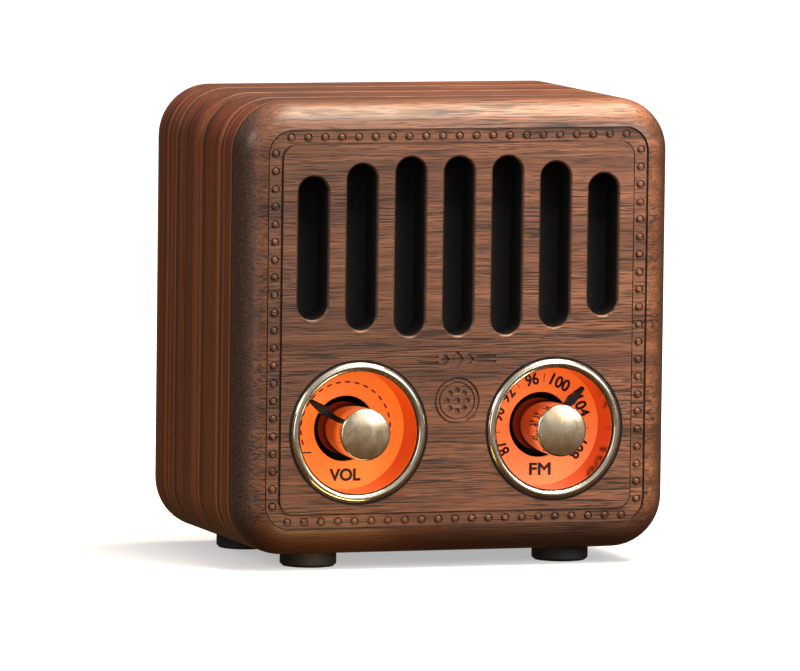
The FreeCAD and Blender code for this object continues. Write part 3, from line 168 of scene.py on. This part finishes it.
def long_grain_with_painted_light(m):
    """Long grain drawn in three dimensions, with its dark marks and its fibre, and a painted light gradient
    across the board.
    """
    figure = m.noise((0.016, 0.20, 0.30), 6, 0.62, 0.5)
    fibre = m.noise((0.05, 2.6, 3.6), 3, 0.6, 0, (3, 1, 7))
    base = m.ramp(figure, (0.30, (0.085, 0.030, 0.013)), (0.45, (0.165, 0.066, 0.033)),
                  (0.58, (0.240, 0.102, 0.055)), (0.74, (0.31, 0.140, 0.080)))
    fibre_tone = m.ramp(fibre, (0.3, (0.40, 0.34, 0.30)), (0.62, (1.22, 1.18, 1.14)))
    base = m.mix(0.8, base, fibre_tone, "MULTIPLY")
    stroke = m.noise((0.085, 1.7, 2.5), 2, 0.55, 0.2, (11, 5, 2))
    crowd = m.noise((0.03, 0.1, 0.13), 3, 0.5, 0.3, (4, 9, 1))
    pores = m.maths("MULTIPLY", m.step(stroke, 0.50, 0.60), m.step(crowd, 0.38, 0.60, 0.30, 1.0))
    short = m.step(m.noise((0.22, 3.6, 4.0), 1, 0.5, 0, (7, 2, 9)), 0.56, 0.66)
    marks = m.maths("MAXIMUM", pores, m.maths("MULTIPLY", short, 0.75))
    # painted light: the board is painted darker on the left and paler on the right, standing in for light
    # falling from the right
    tone = m.ramp(m.step(m.along(0), -38.0, 40.0), (0.0, (0.80, 0.73, 0.57)), (1.0, (1.34, 1.23, 1.00)))
    base = m.mix(1.0, base, tone, "MULTIPLY")
    return m.mix(m.maths("MULTIPLY", marks, 0.94), base, (0.020, 0.007, 0.004)), marks, fibre


def end_grain(m):
    """End grain: greyer and darker than long grain, with fine specks."""
    speck = m.noise((2.6, 2.6, 2.6), 3, 0.65)
    colour = m.ramp(speck, (0.38, (0.027, 0.010, 0.006)), (0.53, (0.064, 0.030, 0.020)),
                    (0.72, (0.125, 0.070, 0.050)))
    return colour, speck


def glued_layers(m):
    """Bands that follow the depth and run up the sides, with slow changes along each band."""
    wander = m.noise((0.02, 0.3, 0.022), 3, 0.5, 0, (1, 2, 3))
    shifted = m.maths("ADD", m.along(1), m.maths("MULTIPLY", wander, 1.6))
    lines = m.node("TexNoise", {"W": m.maths("MULTIPLY", shifted, 0.34), "Scale": 1.0, "Detail": 5.0,
                                "Roughness": 0.6}, noise_dimensions="1D").outputs["Fac"]
    layers = m.ramp(lines, (0.34, (0.05, 0.010, 0.003)), (0.46, (0.145, 0.030, 0.007)),
                    (0.55, (0.23, 0.054, 0.013)), (0.66, (0.42, 0.12, 0.035)))
    upright = m.noise((2.2, 2.2, 0.05), 3, 0.6, 0, (5, 5, 5))
    upright_tone = m.ramp(upright, (0.32, (0.60, 0.50, 0.45)), (0.62, (1.1, 1.1, 1.1)))
    return m.mix(0.6, layers, upright_tone, "MULTIPLY")


def seam_lines_and_highlights(m, depth, colour):
    """A dark hairline at each seam, with a painted highlight beside it: a pale line where the seam's edge
    catches the light.
    """
    for seam in SEAMS:
        dark = m.maths("ABSOLUTE", m.maths("SUBTRACT", depth, seam))
        colour = m.mix(m.step(dark, 0.12, 0.34, 0.88, 0.0), colour, (0.020, 0.007, 0.003))
        # painted highlight: a pale band just behind each seam
        pale = m.maths("ABSOLUTE", m.maths("SUBTRACT", depth, seam + 0.75))
        colour = m.mix(m.step(pale, 0.10, 0.50, 0.42, 0.0), colour, (0.55, 0.24, 0.10))
    return colour


def inner_blackening(m, depth):
    """How far the sound slots and the inside of the box are turned black, from 1 mm behind the front face."""
    from_middle = m.maths("SUBTRACT", m.along(2), MIDDLE_Z / MM)
    across = m.step(m.maths("ABSOLUTE", m.along(0)), *INSIDE, 1.0, 0.0)
    upward = m.step(m.maths("ABSOLUTE", from_middle), *INSIDE, 1.0, 0.0)
    return m.maths("MULTIPLY", m.maths("MULTIPLY", across, upward), m.step(depth, 0.9, 1.1))


def walnut():
    """Oiled walnut: long grain across the front, end grain on its round-over, glued layers behind."""
    m = Shader("walnut", Roughness=0.4, Coat_Weight=0.45, Coat_Roughness=0.32, Specular_IOR_Level=0.45)
    depth = m.maths("SUBTRACT", m.along(1), FRONT_Y / MM)
    side = m.step(m.facing(0), 0.35, 0.85)
    grain_with_painted_light, marks, fibre = long_grain_with_painted_light(m)
    end_colour, speck = end_grain(m)
    sides = m.mix(m.step(depth, 6.2, 6.8), end_colour, glued_layers(m))
    colour = m.mix(side, grain_with_painted_light, sides)
    # painted shade: the sides are darkened towards the rear
    painted_rear_shade = m.maths("MULTIPLY", side, m.step(depth, 12.0, 56.0, 0.0, 0.75))
    colour = m.mix(painted_rear_shade, colour, (0.70, 0.62, 0.72), "MULTIPLY")
    # painted light: the top and the underside are tinted warmer and darker behind the front's rounded edge,
    # standing in for how they are lit
    level = m.maths("MULTIPLY", m.step(m.facing(2), 0.4, 0.9), m.step(depth, 3.0, 9.0))
    colour = m.mix(m.maths("MULTIPLY", level, 0.85), colour, (1.0, 0.74, 0.52), "MULTIPLY")
    # painted shade: the lower edge is darkened, standing in for the little light that reaches it from below
    height = m.maths("SUBTRACT", m.along(2), CABINET_FOOT / MM)
    colour = m.mix(m.step(height, 1.5, 8.5, 0.84, 0.0), colour, (0.055, 0.018, 0.008))
    colour = seam_lines_and_highlights(m, depth, colour)
    # the sound slots and the inside of the box are made black below 1 mm depth
    stain = inner_blackening(m, depth)
    m.feed("Base Color", m.mix(stain, colour, INNER_BLACK))
    gloss = m.step(m.noise((0.3, 0.8, 0.8), 3), 0.3, 0.7, 0.36, 0.50)
    dull = m.maths("MULTIPLY", m.maths("MAXIMUM", marks, stain), 0.3)
    m.feed("Roughness", m.maths("ADD", gloss, dull))
    grain = m.bump(m.maths("SUBTRACT", m.maths("MULTIPLY", fibre, 0.4), marks), 0.08, 0.6)
    m.feed("Normal", m.bump(m.maths("MULTIPLY", speck, side), 0.03, 0.4, grain))
    return m.material


# ---- metals ----
def metal(name, colour, rough, scratch=(1.0, 1.0, 1.0), depth_mm=0.004, worn=0.1, strength=0.4):
    """Metal with fine scratches drawn out along the axes of small scale, and roughness that varies."""
    m = Shader(name, Metallic=1.0)
    grain = m.noise(scratch, 4, 0.6)
    cloud = m.noise((0.25, 0.25, 0.25), 3, 0.5, 0.3, (2, 3, 4))
    darker = tuple(c * 0.82 for c in colour)
    m.feed("Base Color", m.ramp(cloud, (0.35, darker), (0.65, colour)))
    spread = m.maths("MULTIPLY", m.step(grain, 0.3, 0.7), worn)
    m.feed("Roughness", m.maths("ADD", spread, rough))
    m.feed("Normal", m.bump(grain, depth_mm, strength))
    return m.material


def knob_brass():
    """Pale brass: mirror-bright round the side, brushed on the cap; low down on the side, a painted
    reflection and a painted glow of the dial's red light.
    """
    m = Shader("knob_brass", Metallic=1.0)
    cap = m.step(m.facing(1), 0.55, 0.8)
    stain = m.noise((0.35, 0.35, 0.28), 4, 0.6, 0.8, (1, 8, 2))
    brush = m.noise((7.0, 5.0, 0.5), 4, 0.7)
    cap_tone = m.ramp(stain, (0.30, (0.62, 0.48, 0.29)), (0.46, (0.80, 0.68, 0.47)),
                      (0.62, (0.93, 0.86, 0.69)))
    # painted reflection: the side is coloured dark red near its foot, as if mirroring the glowing dial
    sunk = m.step(m.along(1), FRONT_Y / MM - 3.5, FRONT_Y / MM + 1.0)
    side = m.mix(sunk, (0.85, 0.76, 0.60), (0.22, 0.06, 0.03))
    m.feed("Base Color", m.mix(cap, side, cap_tone))
    rough = m.maths("ADD", m.maths("MULTIPLY", brush, 0.12), 0.17)
    m.feed("Roughness", m.node("Mix", {0: cap, 2: 0.07, 3: rough}).outputs[0])
    height = m.maths("MULTIPLY", brush, cap)
    m.feed("Normal", m.bump(height, 0.012, 0.35))
    # painted glow: near the dial, the side gives off a faint red light, as if lit by the dial
    low = m.step(m.along(1), DIAL_FACE / MM - 4.5, DIAL_FACE / MM + 0.5)
    lit = m.maths("MULTIPLY", low, m.step(cap, 0, 1, 1, 0))
    m.feed("Emission Color", m.mix(lit, (0, 0, 0), (0.12, 0.010, 0.003)))
    m.surface.inputs["Emission Strength"].default_value = 1.0
    return m.material


def bezel_brass():
    """Champagne brass, polished; the inside of the tube is coloured red, a painted reflection of the dial's
    glow.
    """
    m = Shader("bezel_brass", Metallic=1.0)
    across = m.maths("SUBTRACT", m.maths("ABSOLUTE", m.along(0)), DIAL_X / MM)
    upward = m.maths("SUBTRACT", m.along(2), DIAL_Z / MM)
    radius = m.maths("SQRT", m.maths("ADD", m.maths("POWER", across, 2), m.maths("POWER", upward, 2)))
    sunk = m.step(m.along(1), FRONT_Y / MM, FRONT_Y / MM + 0.8)
    tube = m.maths("MULTIPLY", m.step(radius, 11.65, 11.8, 1, 0), sunk)
    cloud = m.noise((0.3, 0.3, 0.3), 3, 0.5, 0.3, (2, 3, 4))
    brass = m.ramp(cloud, (0.35, (0.66, 0.60, 0.48)), (0.65, (0.84, 0.79, 0.66)))
    # painted reflection: the inside of the tube is coloured red, as if mirroring the glowing dial
    m.feed("Base Color", m.mix(tube, brass, (0.66, 0.19, 0.07)))
    fine = m.noise((3.0, 0.5, 3.0), 4, 0.6)
    m.feed("Roughness", m.step(fine, 0.3, 0.7, 0.14, 0.24))
    m.feed("Normal", m.bump(fine, 0.003, 0.25))
    return m.material


# ---- plastics, rubber and the rest ----
def moulded(name, colour, rough, grain_scale=3.0, depth_mm=0.03, strength=0.5, **settings):
    """Moulded plastic or rubber with a fine even grain and slight change of tone."""
    m = Shader(name, **settings)
    grain = m.noise((grain_scale,) * 3, 3, 0.6)
    tone = m.noise((0.12, 0.12, 0.12), 3, 0.5, 0.2, (6, 1, 3))
    lighter = tuple(min(1, c * 1.35 + 0.002) for c in colour)
    m.feed("Base Color", m.ramp(tone, (0.35, colour), (0.7, lighter)))
    m.feed("Roughness", m.step(grain, 0.3, 0.7, rough - 0.06, rough + 0.08))
    m.feed("Normal", m.bump(grain, depth_mm, strength))
    return m.material


def dial_glow(name, low_colour, high_colour):
    """Translucent dial lit from behind: its colour changes with height, paler or redder towards the bottom,
    with faint mottling.
    """
    m = Shader(name, Roughness=0.28, Coat_Weight=0.2)
    height = m.maths("SUBTRACT", m.along(2), DIAL_FOOT / MM)
    mist = m.maths("SUBTRACT", m.noise((0.12, 0.12, 0.12), 2, 0.5), 0.5)
    level = m.maths("ADD", m.maths("DIVIDE", height, 25.0), m.maths("MULTIPLY", mist, 0.3))
    shade = m.ramp(level, (0.1, low_colour), (0.75, high_colour))
    m.feed("Base Color", m.mix(0.5, shade, (0.75, 0.16, 0.02)))
    m.feed("Emission Color", shade)
    m.surface.inputs["Emission Strength"].default_value = 0.72
    m.feed("Normal", m.bump(m.noise((2, 2, 2), 2), 0.01, 0.2))
    return m.material


def weave(name, colour, pitch, rough=0.9, flat=False):
    """Plain-woven cloth: threads over and under one another, crossing along X and Z or X and Y."""
    m = Shader(name, Roughness=rough, Sheen_Weight=0.15)
    up = 1 if flat else 2
    turn = 2 * math.pi / pitch
    across = m.maths("SINE", m.maths("MULTIPLY", m.along(0), turn))
    upright = m.maths("SINE", m.maths("MULTIPLY", m.along(up), turn))
    threads = m.step(m.maths("MULTIPLY", across, upright), -1, 1)
    fuzz = m.noise((4, 4, 4), 3, 0.7)
    height = m.maths("ADD", threads, m.maths("MULTIPLY", fuzz, 0.4))
    # painted shade: the weave is coloured darker where it lies low, between the raised threads, with fuzz
    # varying it at random
    dark = tuple(c * 0.35 for c in colour)
    m.feed("Base Color", m.ramp(height, (0.2, dark), (0.9, colour)))
    m.feed("Normal", m.bump(height, 0.12, 0.6))
    return m.material


def circuit():
    """Green solder mask with fine traces and a slight sheen."""
    m = Shader("circuit_board", Roughness=0.35, Coat_Weight=0.3)
    cells = m.node("TexVoronoi", {"Vector": m.place((0.45, 0.45, 0.45)), "Scale": 1.0}, distance="MANHATTAN",
                   feature="F2")
    traces = m.step(m.maths("FRACT", m.maths("MULTIPLY", cells.outputs["Distance"], 4.0)), 0.42, 0.5)
    m.feed("Base Color", m.mix(traces, (0.012, 0.085, 0.032), (0.03, 0.17, 0.06)))
    m.feed("Normal", m.bump(traces, 0.03, 0.4))
    return m.material


def lens():
    """Clear plastic of the status light."""
    m = Shader("lens", Roughness=0.12, Transmission_Weight=0.85, IOR=1.49)
    cloud = m.noise((1.5, 1.5, 1.5), 3)
    m.feed("Base Color", m.ramp(cloud, (0.3, (0.75, 0.82, 0.9)), (0.7, (0.92, 0.95, 1.0))))
    m.feed("Normal", m.bump(m.noise((3, 3, 3), 2), 0.01, 0.2))
    return m.material


def ink(name, colour):
    """Printed ink, slightly uneven."""
    m = Shader(name, Roughness=0.55)
    worn = m.noise((3, 3, 3), 3, 0.6)
    paler = tuple(c * 1.8 + 0.004 for c in colour)
    m.feed("Base Color", m.ramp(worn, (0.35, colour), (0.75, paler)))
    return m.material


def dress_nodes():
    """Give every CAD node its material."""
    black = moulded("black_plastic", (0.016, 0.016, 0.017), 0.5, 3.2, 0.05, 0.6)
    steel = metal("zinc_steel", (0.62, 0.62, 0.63), 0.28, (0.6, 0.6, 4.0))
    dark_steel = metal("screw_steel", (0.20, 0.20, 0.21), 0.3, (3.0, 3.0, 3.0), 0.01)
    plain_brass = metal("plain_brass", (0.78, 0.60, 0.30), 0.25, (2.0, 0.4, 2.0))
    bezel = bezel_brass()
    gloss = moulded("black_gloss", (0.006, 0.006, 0.0065), 0.14, 2.0, 0.004, 0.2, Coat_Weight=0.5)
    rubber = moulded("rubber", (0.012, 0.014, 0.016), 0.62, 2.4, 0.06, 0.5)
    chip = moulded("chip_black", (0.014, 0.014, 0.015), 0.45, 5.0, 0.02)
    copper = metal("copper", (0.80, 0.42, 0.26), 0.22, (0.5, 6.0, 0.5))
    paper = weave("speaker_paper", (0.05, 0.05, 0.052), 0.7)
    board = circuit()
    knob = knob_brass()
    wood = walnut()
    volume_dial = dial_glow("volume_glow", (1.0, 0.23, 0.035), (1.0, 0.175, 0.018))
    tuning_dial = dial_glow("tuning_glow", (1.0, 0.25, 0.095), (1.0, 0.145, 0.018))
    choices = {
        "front_panel middle_frame_front middle_frame_rear rear_frame": wood,
        "rear_cover baffle_plate switch_body battery_tray": black,
        # painted shade: the light cups and the nuts are near-black and dull, so the gap round each knob shows
        # as shade
        "volume_light_cup tuning_light_cup volume_nut tuning_nut": moulded(
            "gap_shade_black", (0.003, 0.002, 0.002), 0.85, 3.0, 0.02, 0.4, Specular_IOR_Level=0.1),
        "volume_rim tuning_rim volume_pointer tuning_pointer": gloss,
        "switch_slider": moulded("switch_cap", (0.03, 0.03, 0.031), 0.4, 4.0, 0.02),
        "foot_front_left foot_front_right foot_rear_left foot_rear_right": rubber,
        "speaker_surround": rubber,
        "cover_screws foot_screws baffle_screws speaker_screws bracket_screws board_screws": dark_steel,
        # painted shade: the control bracket is near-black, so it shows as shade through the gap round each
        # knob
        "control_bracket": moulded(
            "gap_shade_steel", (0.008, 0.008, 0.009), 0.6, 2.5, 0.02, 0.4, Specular_IOR_Level=0.2),
        "speaker_basket speaker_top_plate speaker_yoke": steel,
        "volume_potentiometer tuning_capacitor volume_shaft tuning_shaft": steel,
        "grille_cloth": weave("grille_cloth", (0.010, 0.010, 0.011), 0.55),
        "speaker_cone speaker_dust_cap": paper,
        "speaker_spider": weave("speaker_cloth", (0.5, 0.33, 0.14), 0.9),
        "speaker_magnet": moulded("ferrite", (0.05, 0.05, 0.055), 0.55, 2.0),
        "speaker_voice_coil antenna_strip": copper,
        "volume_bezel tuning_bezel": bezel,
        "volume_knob tuning_knob": knob,
        "bracket_standoffs": plain_brass,
        "volume_dial": volume_dial,
        "tuning_dial": tuning_dial,
        "main_board volume_lamp_board tuning_lamp_board": board,
        "amplifier_chip aux_socket": chip,
        "radio_module usb_socket": metal("shield_tin", (0.75, 0.75, 0.75), 0.2, (1.5, 1.5, 1.5)),
        "board_capacitors": metal("capacitor_can", (0.62, 0.63, 0.66), 0.3, (0.5, 3.0, 0.5)),
        "battery": moulded("battery_wrap", (0.06, 0.09, 0.2), 0.3, 1.0, 0.02, Coat_Weight=0.4),
        "status_lens": lens(),
    }
    given = {node: material for names, material in choices.items() for node in names.split()}
    for node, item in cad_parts.items():
        for slot in item.material_slots:
            slot.material = given[node]


# ---- dial print ----
INK_MM = 0.03


def add_piece(name, mesh, body, material):
    """Put a mesh in the scene as a visible piece that rides a body."""
    piece = bpy.data.objects.new(name, mesh)
    scene.collection.objects.link(piece)
    mesh.materials.clear()
    mesh.materials.append(material)
    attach(piece, body)
    return piece


def thicken(flat, reach):
    """Move the outline of flat faces outwards by a distance, in their own plane."""
    pushes = {}
    for edge in flat.edges:
        if not edge.is_boundary:
            continue
        first, second = edge.verts
        along = (second.co - first.co).normalized()
        away = Vector((along.y, -along.x, 0))
        if away.dot(edge.link_faces[0].calc_center_median() - first.co) > 0:
            away.negate()
        pushes.setdefault(first, []).append(away)
        pushes.setdefault(second, []).append(away)
    for vert, sides in pushes.items():
        push = sum(sides, Vector()) / len(sides)
        if push.length > 0.3:
            vert.co += push.normalized() * reach / max(push.length, 0.55)


class Print:
    """Ink on one dial, gathered into one mesh. Angles are clockwise from twelve, seen from the front."""

    def __init__(self, dial):
        low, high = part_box(dial)
        self.x = (low[0] + high[0]) / 2
        self.z = (low[2] + high[2]) / 2
        self.y = low[1]
        self.shape = bmesh.new()

    def spot(self, radius, angle, side=0.0, rise=0.0):
        """A point at a radius and angle, moved sideways along the circle and outwards, in millimetres."""
        turn = math.radians(angle)
        out = radius + rise
        x = out * math.sin(turn) + side * math.cos(turn)
        z = out * math.cos(turn) - side * math.sin(turn)
        return self.x + x * MM, self.z + z * MM

    def block(self, outline):
        """A thin raised block of ink on the dial, from its outline as (x, z) points."""
        front = self.y - INK_MM * MM
        rear = [self.shape.verts.new((x, self.y, z)) for x, z in outline]
        face = [self.shape.verts.new((x, front, z)) for x, z in outline]
        self.shape.faces.new(face)
        self.shape.faces.new(rear[::-1])
        for index, corner in enumerate(face):
            after = (index + 1) % len(face)
            self.shape.faces.new((corner, rear[index], rear[after], face[after]))

    def tick(self, angle, inner, outer, width):
        """A straight mark along a radius."""
        half = width / 2
        self.block([self.spot(inner, angle, -half), self.spot(outer, angle, -half),
                    self.spot(outer, angle, half), self.spot(inner, angle, half)])

    def dash(self, angle, radius, length, width):
        """A short piece of arc."""
        half = math.degrees(length / radius) / 2
        angles = [angle - half, angle, angle + half]
        outer = [self.spot(radius + width / 2, a) for a in angles]
        inner = [self.spot(radius - width / 2, a) for a in reversed(angles)]
        self.block(outer + inner)

    def letters(self, text, radius, angle, width, height, bolder=0.0, upright=False):
        """Text centred at a place on the dial, scaled to its real size, with its strokes thickened."""
        curve = bpy.data.curves.new("letters", "FONT")
        curve.body = text
        maker = bpy.data.objects.new("letters", curve)
        mesh = bpy.data.meshes.new_from_object(maker)
        glyphs = bmesh.new()
        glyphs.from_mesh(mesh)
        bmesh.ops.remove_doubles(glyphs, verts=glyphs.verts, dist=1e-5)
        low = [min(v.co[i] for v in glyphs.verts) for i in range(2)]
        high = [max(v.co[i] for v in glyphs.verts) for i in range(2)]
        for vert in glyphs.verts:
            share = [(vert.co[i] - low[i]) / (high[i] - low[i]) - 0.5 for i in range(2)]
            vert.co = (share[0] * (width - 2 * bolder), share[1] * (height - 2 * bolder), 0)
        thicken(glyphs, bolder)
        places = {}
        for vert in glyphs.verts:
            if upright:
                x, z = self.spot(radius, angle)
                places[vert] = (x + vert.co.x * MM, z + vert.co.y * MM)
            else:
                places[vert] = self.spot(radius, angle, vert.co.x, vert.co.y)
        rear = {v: self.shape.verts.new((x, self.y, z)) for v, (x, z) in places.items()}
        face = {v: self.shape.verts.new((x, self.y - INK_MM * MM, z)) for v, (x, z) in places.items()}
        for polygon in glyphs.faces:
            self.shape.faces.new([face[v] for v in polygon.verts])
            self.shape.faces.new([rear[v] for v in reversed(polygon.verts)])
        for edge in glyphs.edges:
            if edge.is_boundary:
                first, second = edge.verts
                self.shape.faces.new((face[first], face[second], rear[second], rear[first]))
        glyphs.free()
        bpy.data.objects.remove(maker)
        bpy.data.meshes.remove(mesh)

    def finish(self, name, material):
        """Turn the gathered ink into one piece on the cabinet."""
        bmesh.ops.remove_doubles(self.shape, verts=self.shape.verts, dist=1e-8)
        bmesh.ops.recalc_face_normals(self.shape, faces=self.shape.faces)
        mesh = bpy.data.meshes.new(name)
        self.shape.to_mesh(mesh)
        self.shape.free()
        return add_piece(name, mesh, "cabinet", material)


SCALE_RADIUS = 8.85
DIGIT_WIDTH = 1.32
WORD_HEIGHT = 2.45
TUNING_NUMBERS = (("87", -120), ("90", -76), ("92", -49), ("96", -12), ("100", 26), ("104", 68), ("108", 122))
TUNING_TICKS = (-99, -31, 4, 95)
ARC_START, ARC_STEP, ARC_DASHES = -106, 12, 18


def print_volume(black_ink, red_ink):
    """The volume dial's word, its short bar at lower left, and its dashed arc."""
    words = Print("volume_dial")
    words.letters("VOL", 8.8, 180, 6.2, WORD_HEIGHT, 0.13, upright=True)
    x, z = words.spot(8.9, -120)
    reach, half = 0.95 * MM, 0.13 * MM
    words.block([(x - reach, z - half), (x - reach, z + half), (x + reach, z + half), (x + reach, z - half)])
    words.finish("volume_words", black_ink)
    arc = Print("volume_dial")
    for index in range(ARC_DASHES):
        arc.dash(ARC_START + index * ARC_STEP, 8.9, 1.0, 0.32)
    arc.finish("volume_arc", red_ink)


def print_tuning(black_ink, red_ink):
    """The tuning dial's numbers, its word, and the ticks between the numbers."""
    numbers = Print("tuning_dial")
    for text, angle in TUNING_NUMBERS:
        numbers.letters(text, SCALE_RADIUS, angle, DIGIT_WIDTH * len(text) + 0.1, 2.4, 0.10)
    numbers.letters("FM", 8.5, 180, 4.4, WORD_HEIGHT, 0.12, upright=True)
    numbers.finish("tuning_numbers", black_ink)
    ticks = Print("tuning_dial")
    for angle in TUNING_TICKS:
        ticks.tick(angle, 8.2, 9.8, 0.14)
    ticks.finish("tuning_ticks", red_ink)


def print_dials():
    """All four pieces of print."""
    black_ink = ink("black_ink", (0.018, 0.008, 0.006))
    red_ink = ink("red_ink", (0.22, 0.018, 0.004))
    print_volume(black_ink, red_ink)
    print_tuning(black_ink, red_ink)


# ---- stage ----
FLOOR_REACH = 12.0
SKY = ((0.0, (0.03, 0.016, 0.006)), (0.44, (0.16, 0.085, 0.04)), (0.53, (0.05, 0.042, 0.04)),
       (0.66, (0.12, 0.11, 0.10)), (1.0, (0.55, 0.52, 0.50)))
FORE_GLOW = (0.34, 0.335, 0.325, 1)
MIDDLE_SPOT = (0, 0, 0.045)
# name, place, target, width and height, watts, colour
LIGHTS = (
    ("top_box", (0.22, -0.10, 0.70), MIDDLE_SPOT, (0.62, 0.40), 10.0, (1.0, 0.80, 0.60)),
    ("key_box", (0.27, -0.39, 0.22), MIDDLE_SPOT, (0.25, 0.25), 1.12, (1.0, 0.97, 0.93)),
    ("cap_card", (0.30, -0.90, 0.30), MIDDLE_SPOT, (0.45, 0.35), 0.55, (1.0, 0.97, 0.92)),
    ("edge_strip", (0.14, -0.44, 0.70), MIDDLE_SPOT, (0.45, 0.05), 2.3, (1.0, 0.90, 0.78)),
    ("left_card", (-0.62, -0.70, 0.16), MIDDLE_SPOT, (0.25, 0.5), 0.75, (0.98, 0.97, 1.0)),
    ("glow_card", (-0.024, -0.038, 0.0032), (-0.024, -0.024, 0.012), (0.022, 0.005), 0.0022,
     (1.0, 0.62, 0.22)),
    ("left_box", (-0.75, -0.25, 0.45), MIDDLE_SPOT, (0.3, 0.3), 1.8, (1.0, 0.86, 0.70)),
)


def add_light(name, place, target, size, watts, colour):
    """A rectangular light that the camera doesn't see."""
    data = bpy.data.lights.new(name, "AREA")
    data.shape = "RECTANGLE"
    data.size, data.size_y = size
    data.energy = watts
    data.color = colour
    light = bpy.data.objects.new(name, data)
    light.location = place
    towards = Vector(target) - Vector(place)
    light.rotation_euler = towards.to_track_quat("-Z", "Y").to_euler()
    light.visible_camera = False
    scene.collection.objects.link(light)


def add_floor():
    """A pale floor that glows, less so near the radio, where its shadow shows."""
    mesh = bpy.data.meshes.new("floor")
    corners = [(-FLOOR_REACH, -FLOOR_REACH, 0), (FLOOR_REACH, -FLOOR_REACH, 0),
               (FLOOR_REACH, FLOOR_REACH, 0), (-FLOOR_REACH, FLOOR_REACH, 0)]
    mesh.from_pydata(corners, [], [(0, 1, 2, 3)])
    floor = bpy.data.objects.new("floor", mesh)
    scene.collection.objects.link(floor)
    m = Shader("pale_floor", Roughness=0.9, Base_Color=(0.8, 0.8, 0.8, 1), Specular_IOR_Level=0.1)
    away = m.node("VectorMath", {0: m.place()}, operation="LENGTH").outputs["Value"]
    m.feed("Emission Color", m.ramp(m.maths("DIVIDE", away, 900.0), (0.05, (0.42, 0.42, 0.43)),
                                    (0.35, (0.9, 0.9, 0.9))))
    m.surface.inputs["Emission Strength"].default_value = 1.0
    mesh.materials.append(m.material)
    floor.visible_glossy = False
    floor.visible_diffuse = False


class World:
    """The studio's own node tree."""

    def __init__(self):
        world = bpy.data.worlds.new("studio")
        scene.world = world
        world.use_nodes = True
        self.nodes = world.node_tree.nodes
        self.links = world.node_tree.links
        self.sky = self.nodes["Background"]
        self.apart = self.nodes.new("ShaderNodeSeparateXYZ")
        self.links.new(self.nodes.new("ShaderNodeTexCoord").outputs["Generated"], self.apart.inputs[0])

    def share(self, axis, low, high, most=1.0, smooth=True):
        """A share from 0 to most as a direction's part along an axis goes from low to high."""
        made = self.nodes.new("ShaderNodeMapRange")
        made.interpolation_type = "SMOOTHSTEP" if smooth else "LINEAR"
        self.links.new(self.apart.outputs[axis], made.inputs[0])
        made.inputs[1].default_value = low
        made.inputs[2].default_value = high
        made.inputs[4].default_value = most
        return made.outputs[0]

    def gradient(self):
        """The sky's colour from straight down to straight up."""
        ramp = self.nodes.new("ShaderNodeValToRGB")
        self.links.new(self.share(2, -1, 1, smooth=False), ramp.inputs[0])
        for place, _ in SKY[1:-1]:
            ramp.color_ramp.elements.new(place)
        for element, (place, colour) in zip(ramp.color_ramp.elements, SKY):
            element.position = place
            element.color = (*colour, 1)
        return ramp.outputs[0]

    def light_up(self):
        """The gradient, with a pale glow in front of the radio and above the floor."""
        both = self.nodes.new("ShaderNodeMath")
        both.operation = "MULTIPLY"
        self.links.new(self.share(1, -0.15, -0.95, 0.75), both.inputs[0])
        self.links.new(self.share(2, -0.40, 0.10), both.inputs[1])
        glow = self.nodes.new("ShaderNodeMix")
        glow.data_type = "RGBA"
        glow.blend_type = "ADD"
        self.links.new(both.outputs[0], glow.inputs[0])
        self.links.new(self.gradient(), glow.inputs[6])
        glow.inputs[7].default_value = FORE_GLOW
        self.links.new(glow.outputs[2], self.sky.inputs[0])
        self.sky.inputs[1].default_value = 1.0


def build_stage():
    """A plain pale floor, soft boxes and a dim studio."""
    add_floor()
    World().light_up()
    for light in LIGHTS:
        add_light(*light)


place_camera()
dress_nodes()
print_dials()
build_stage()
scene.view_settings.view_transform = "Standard"
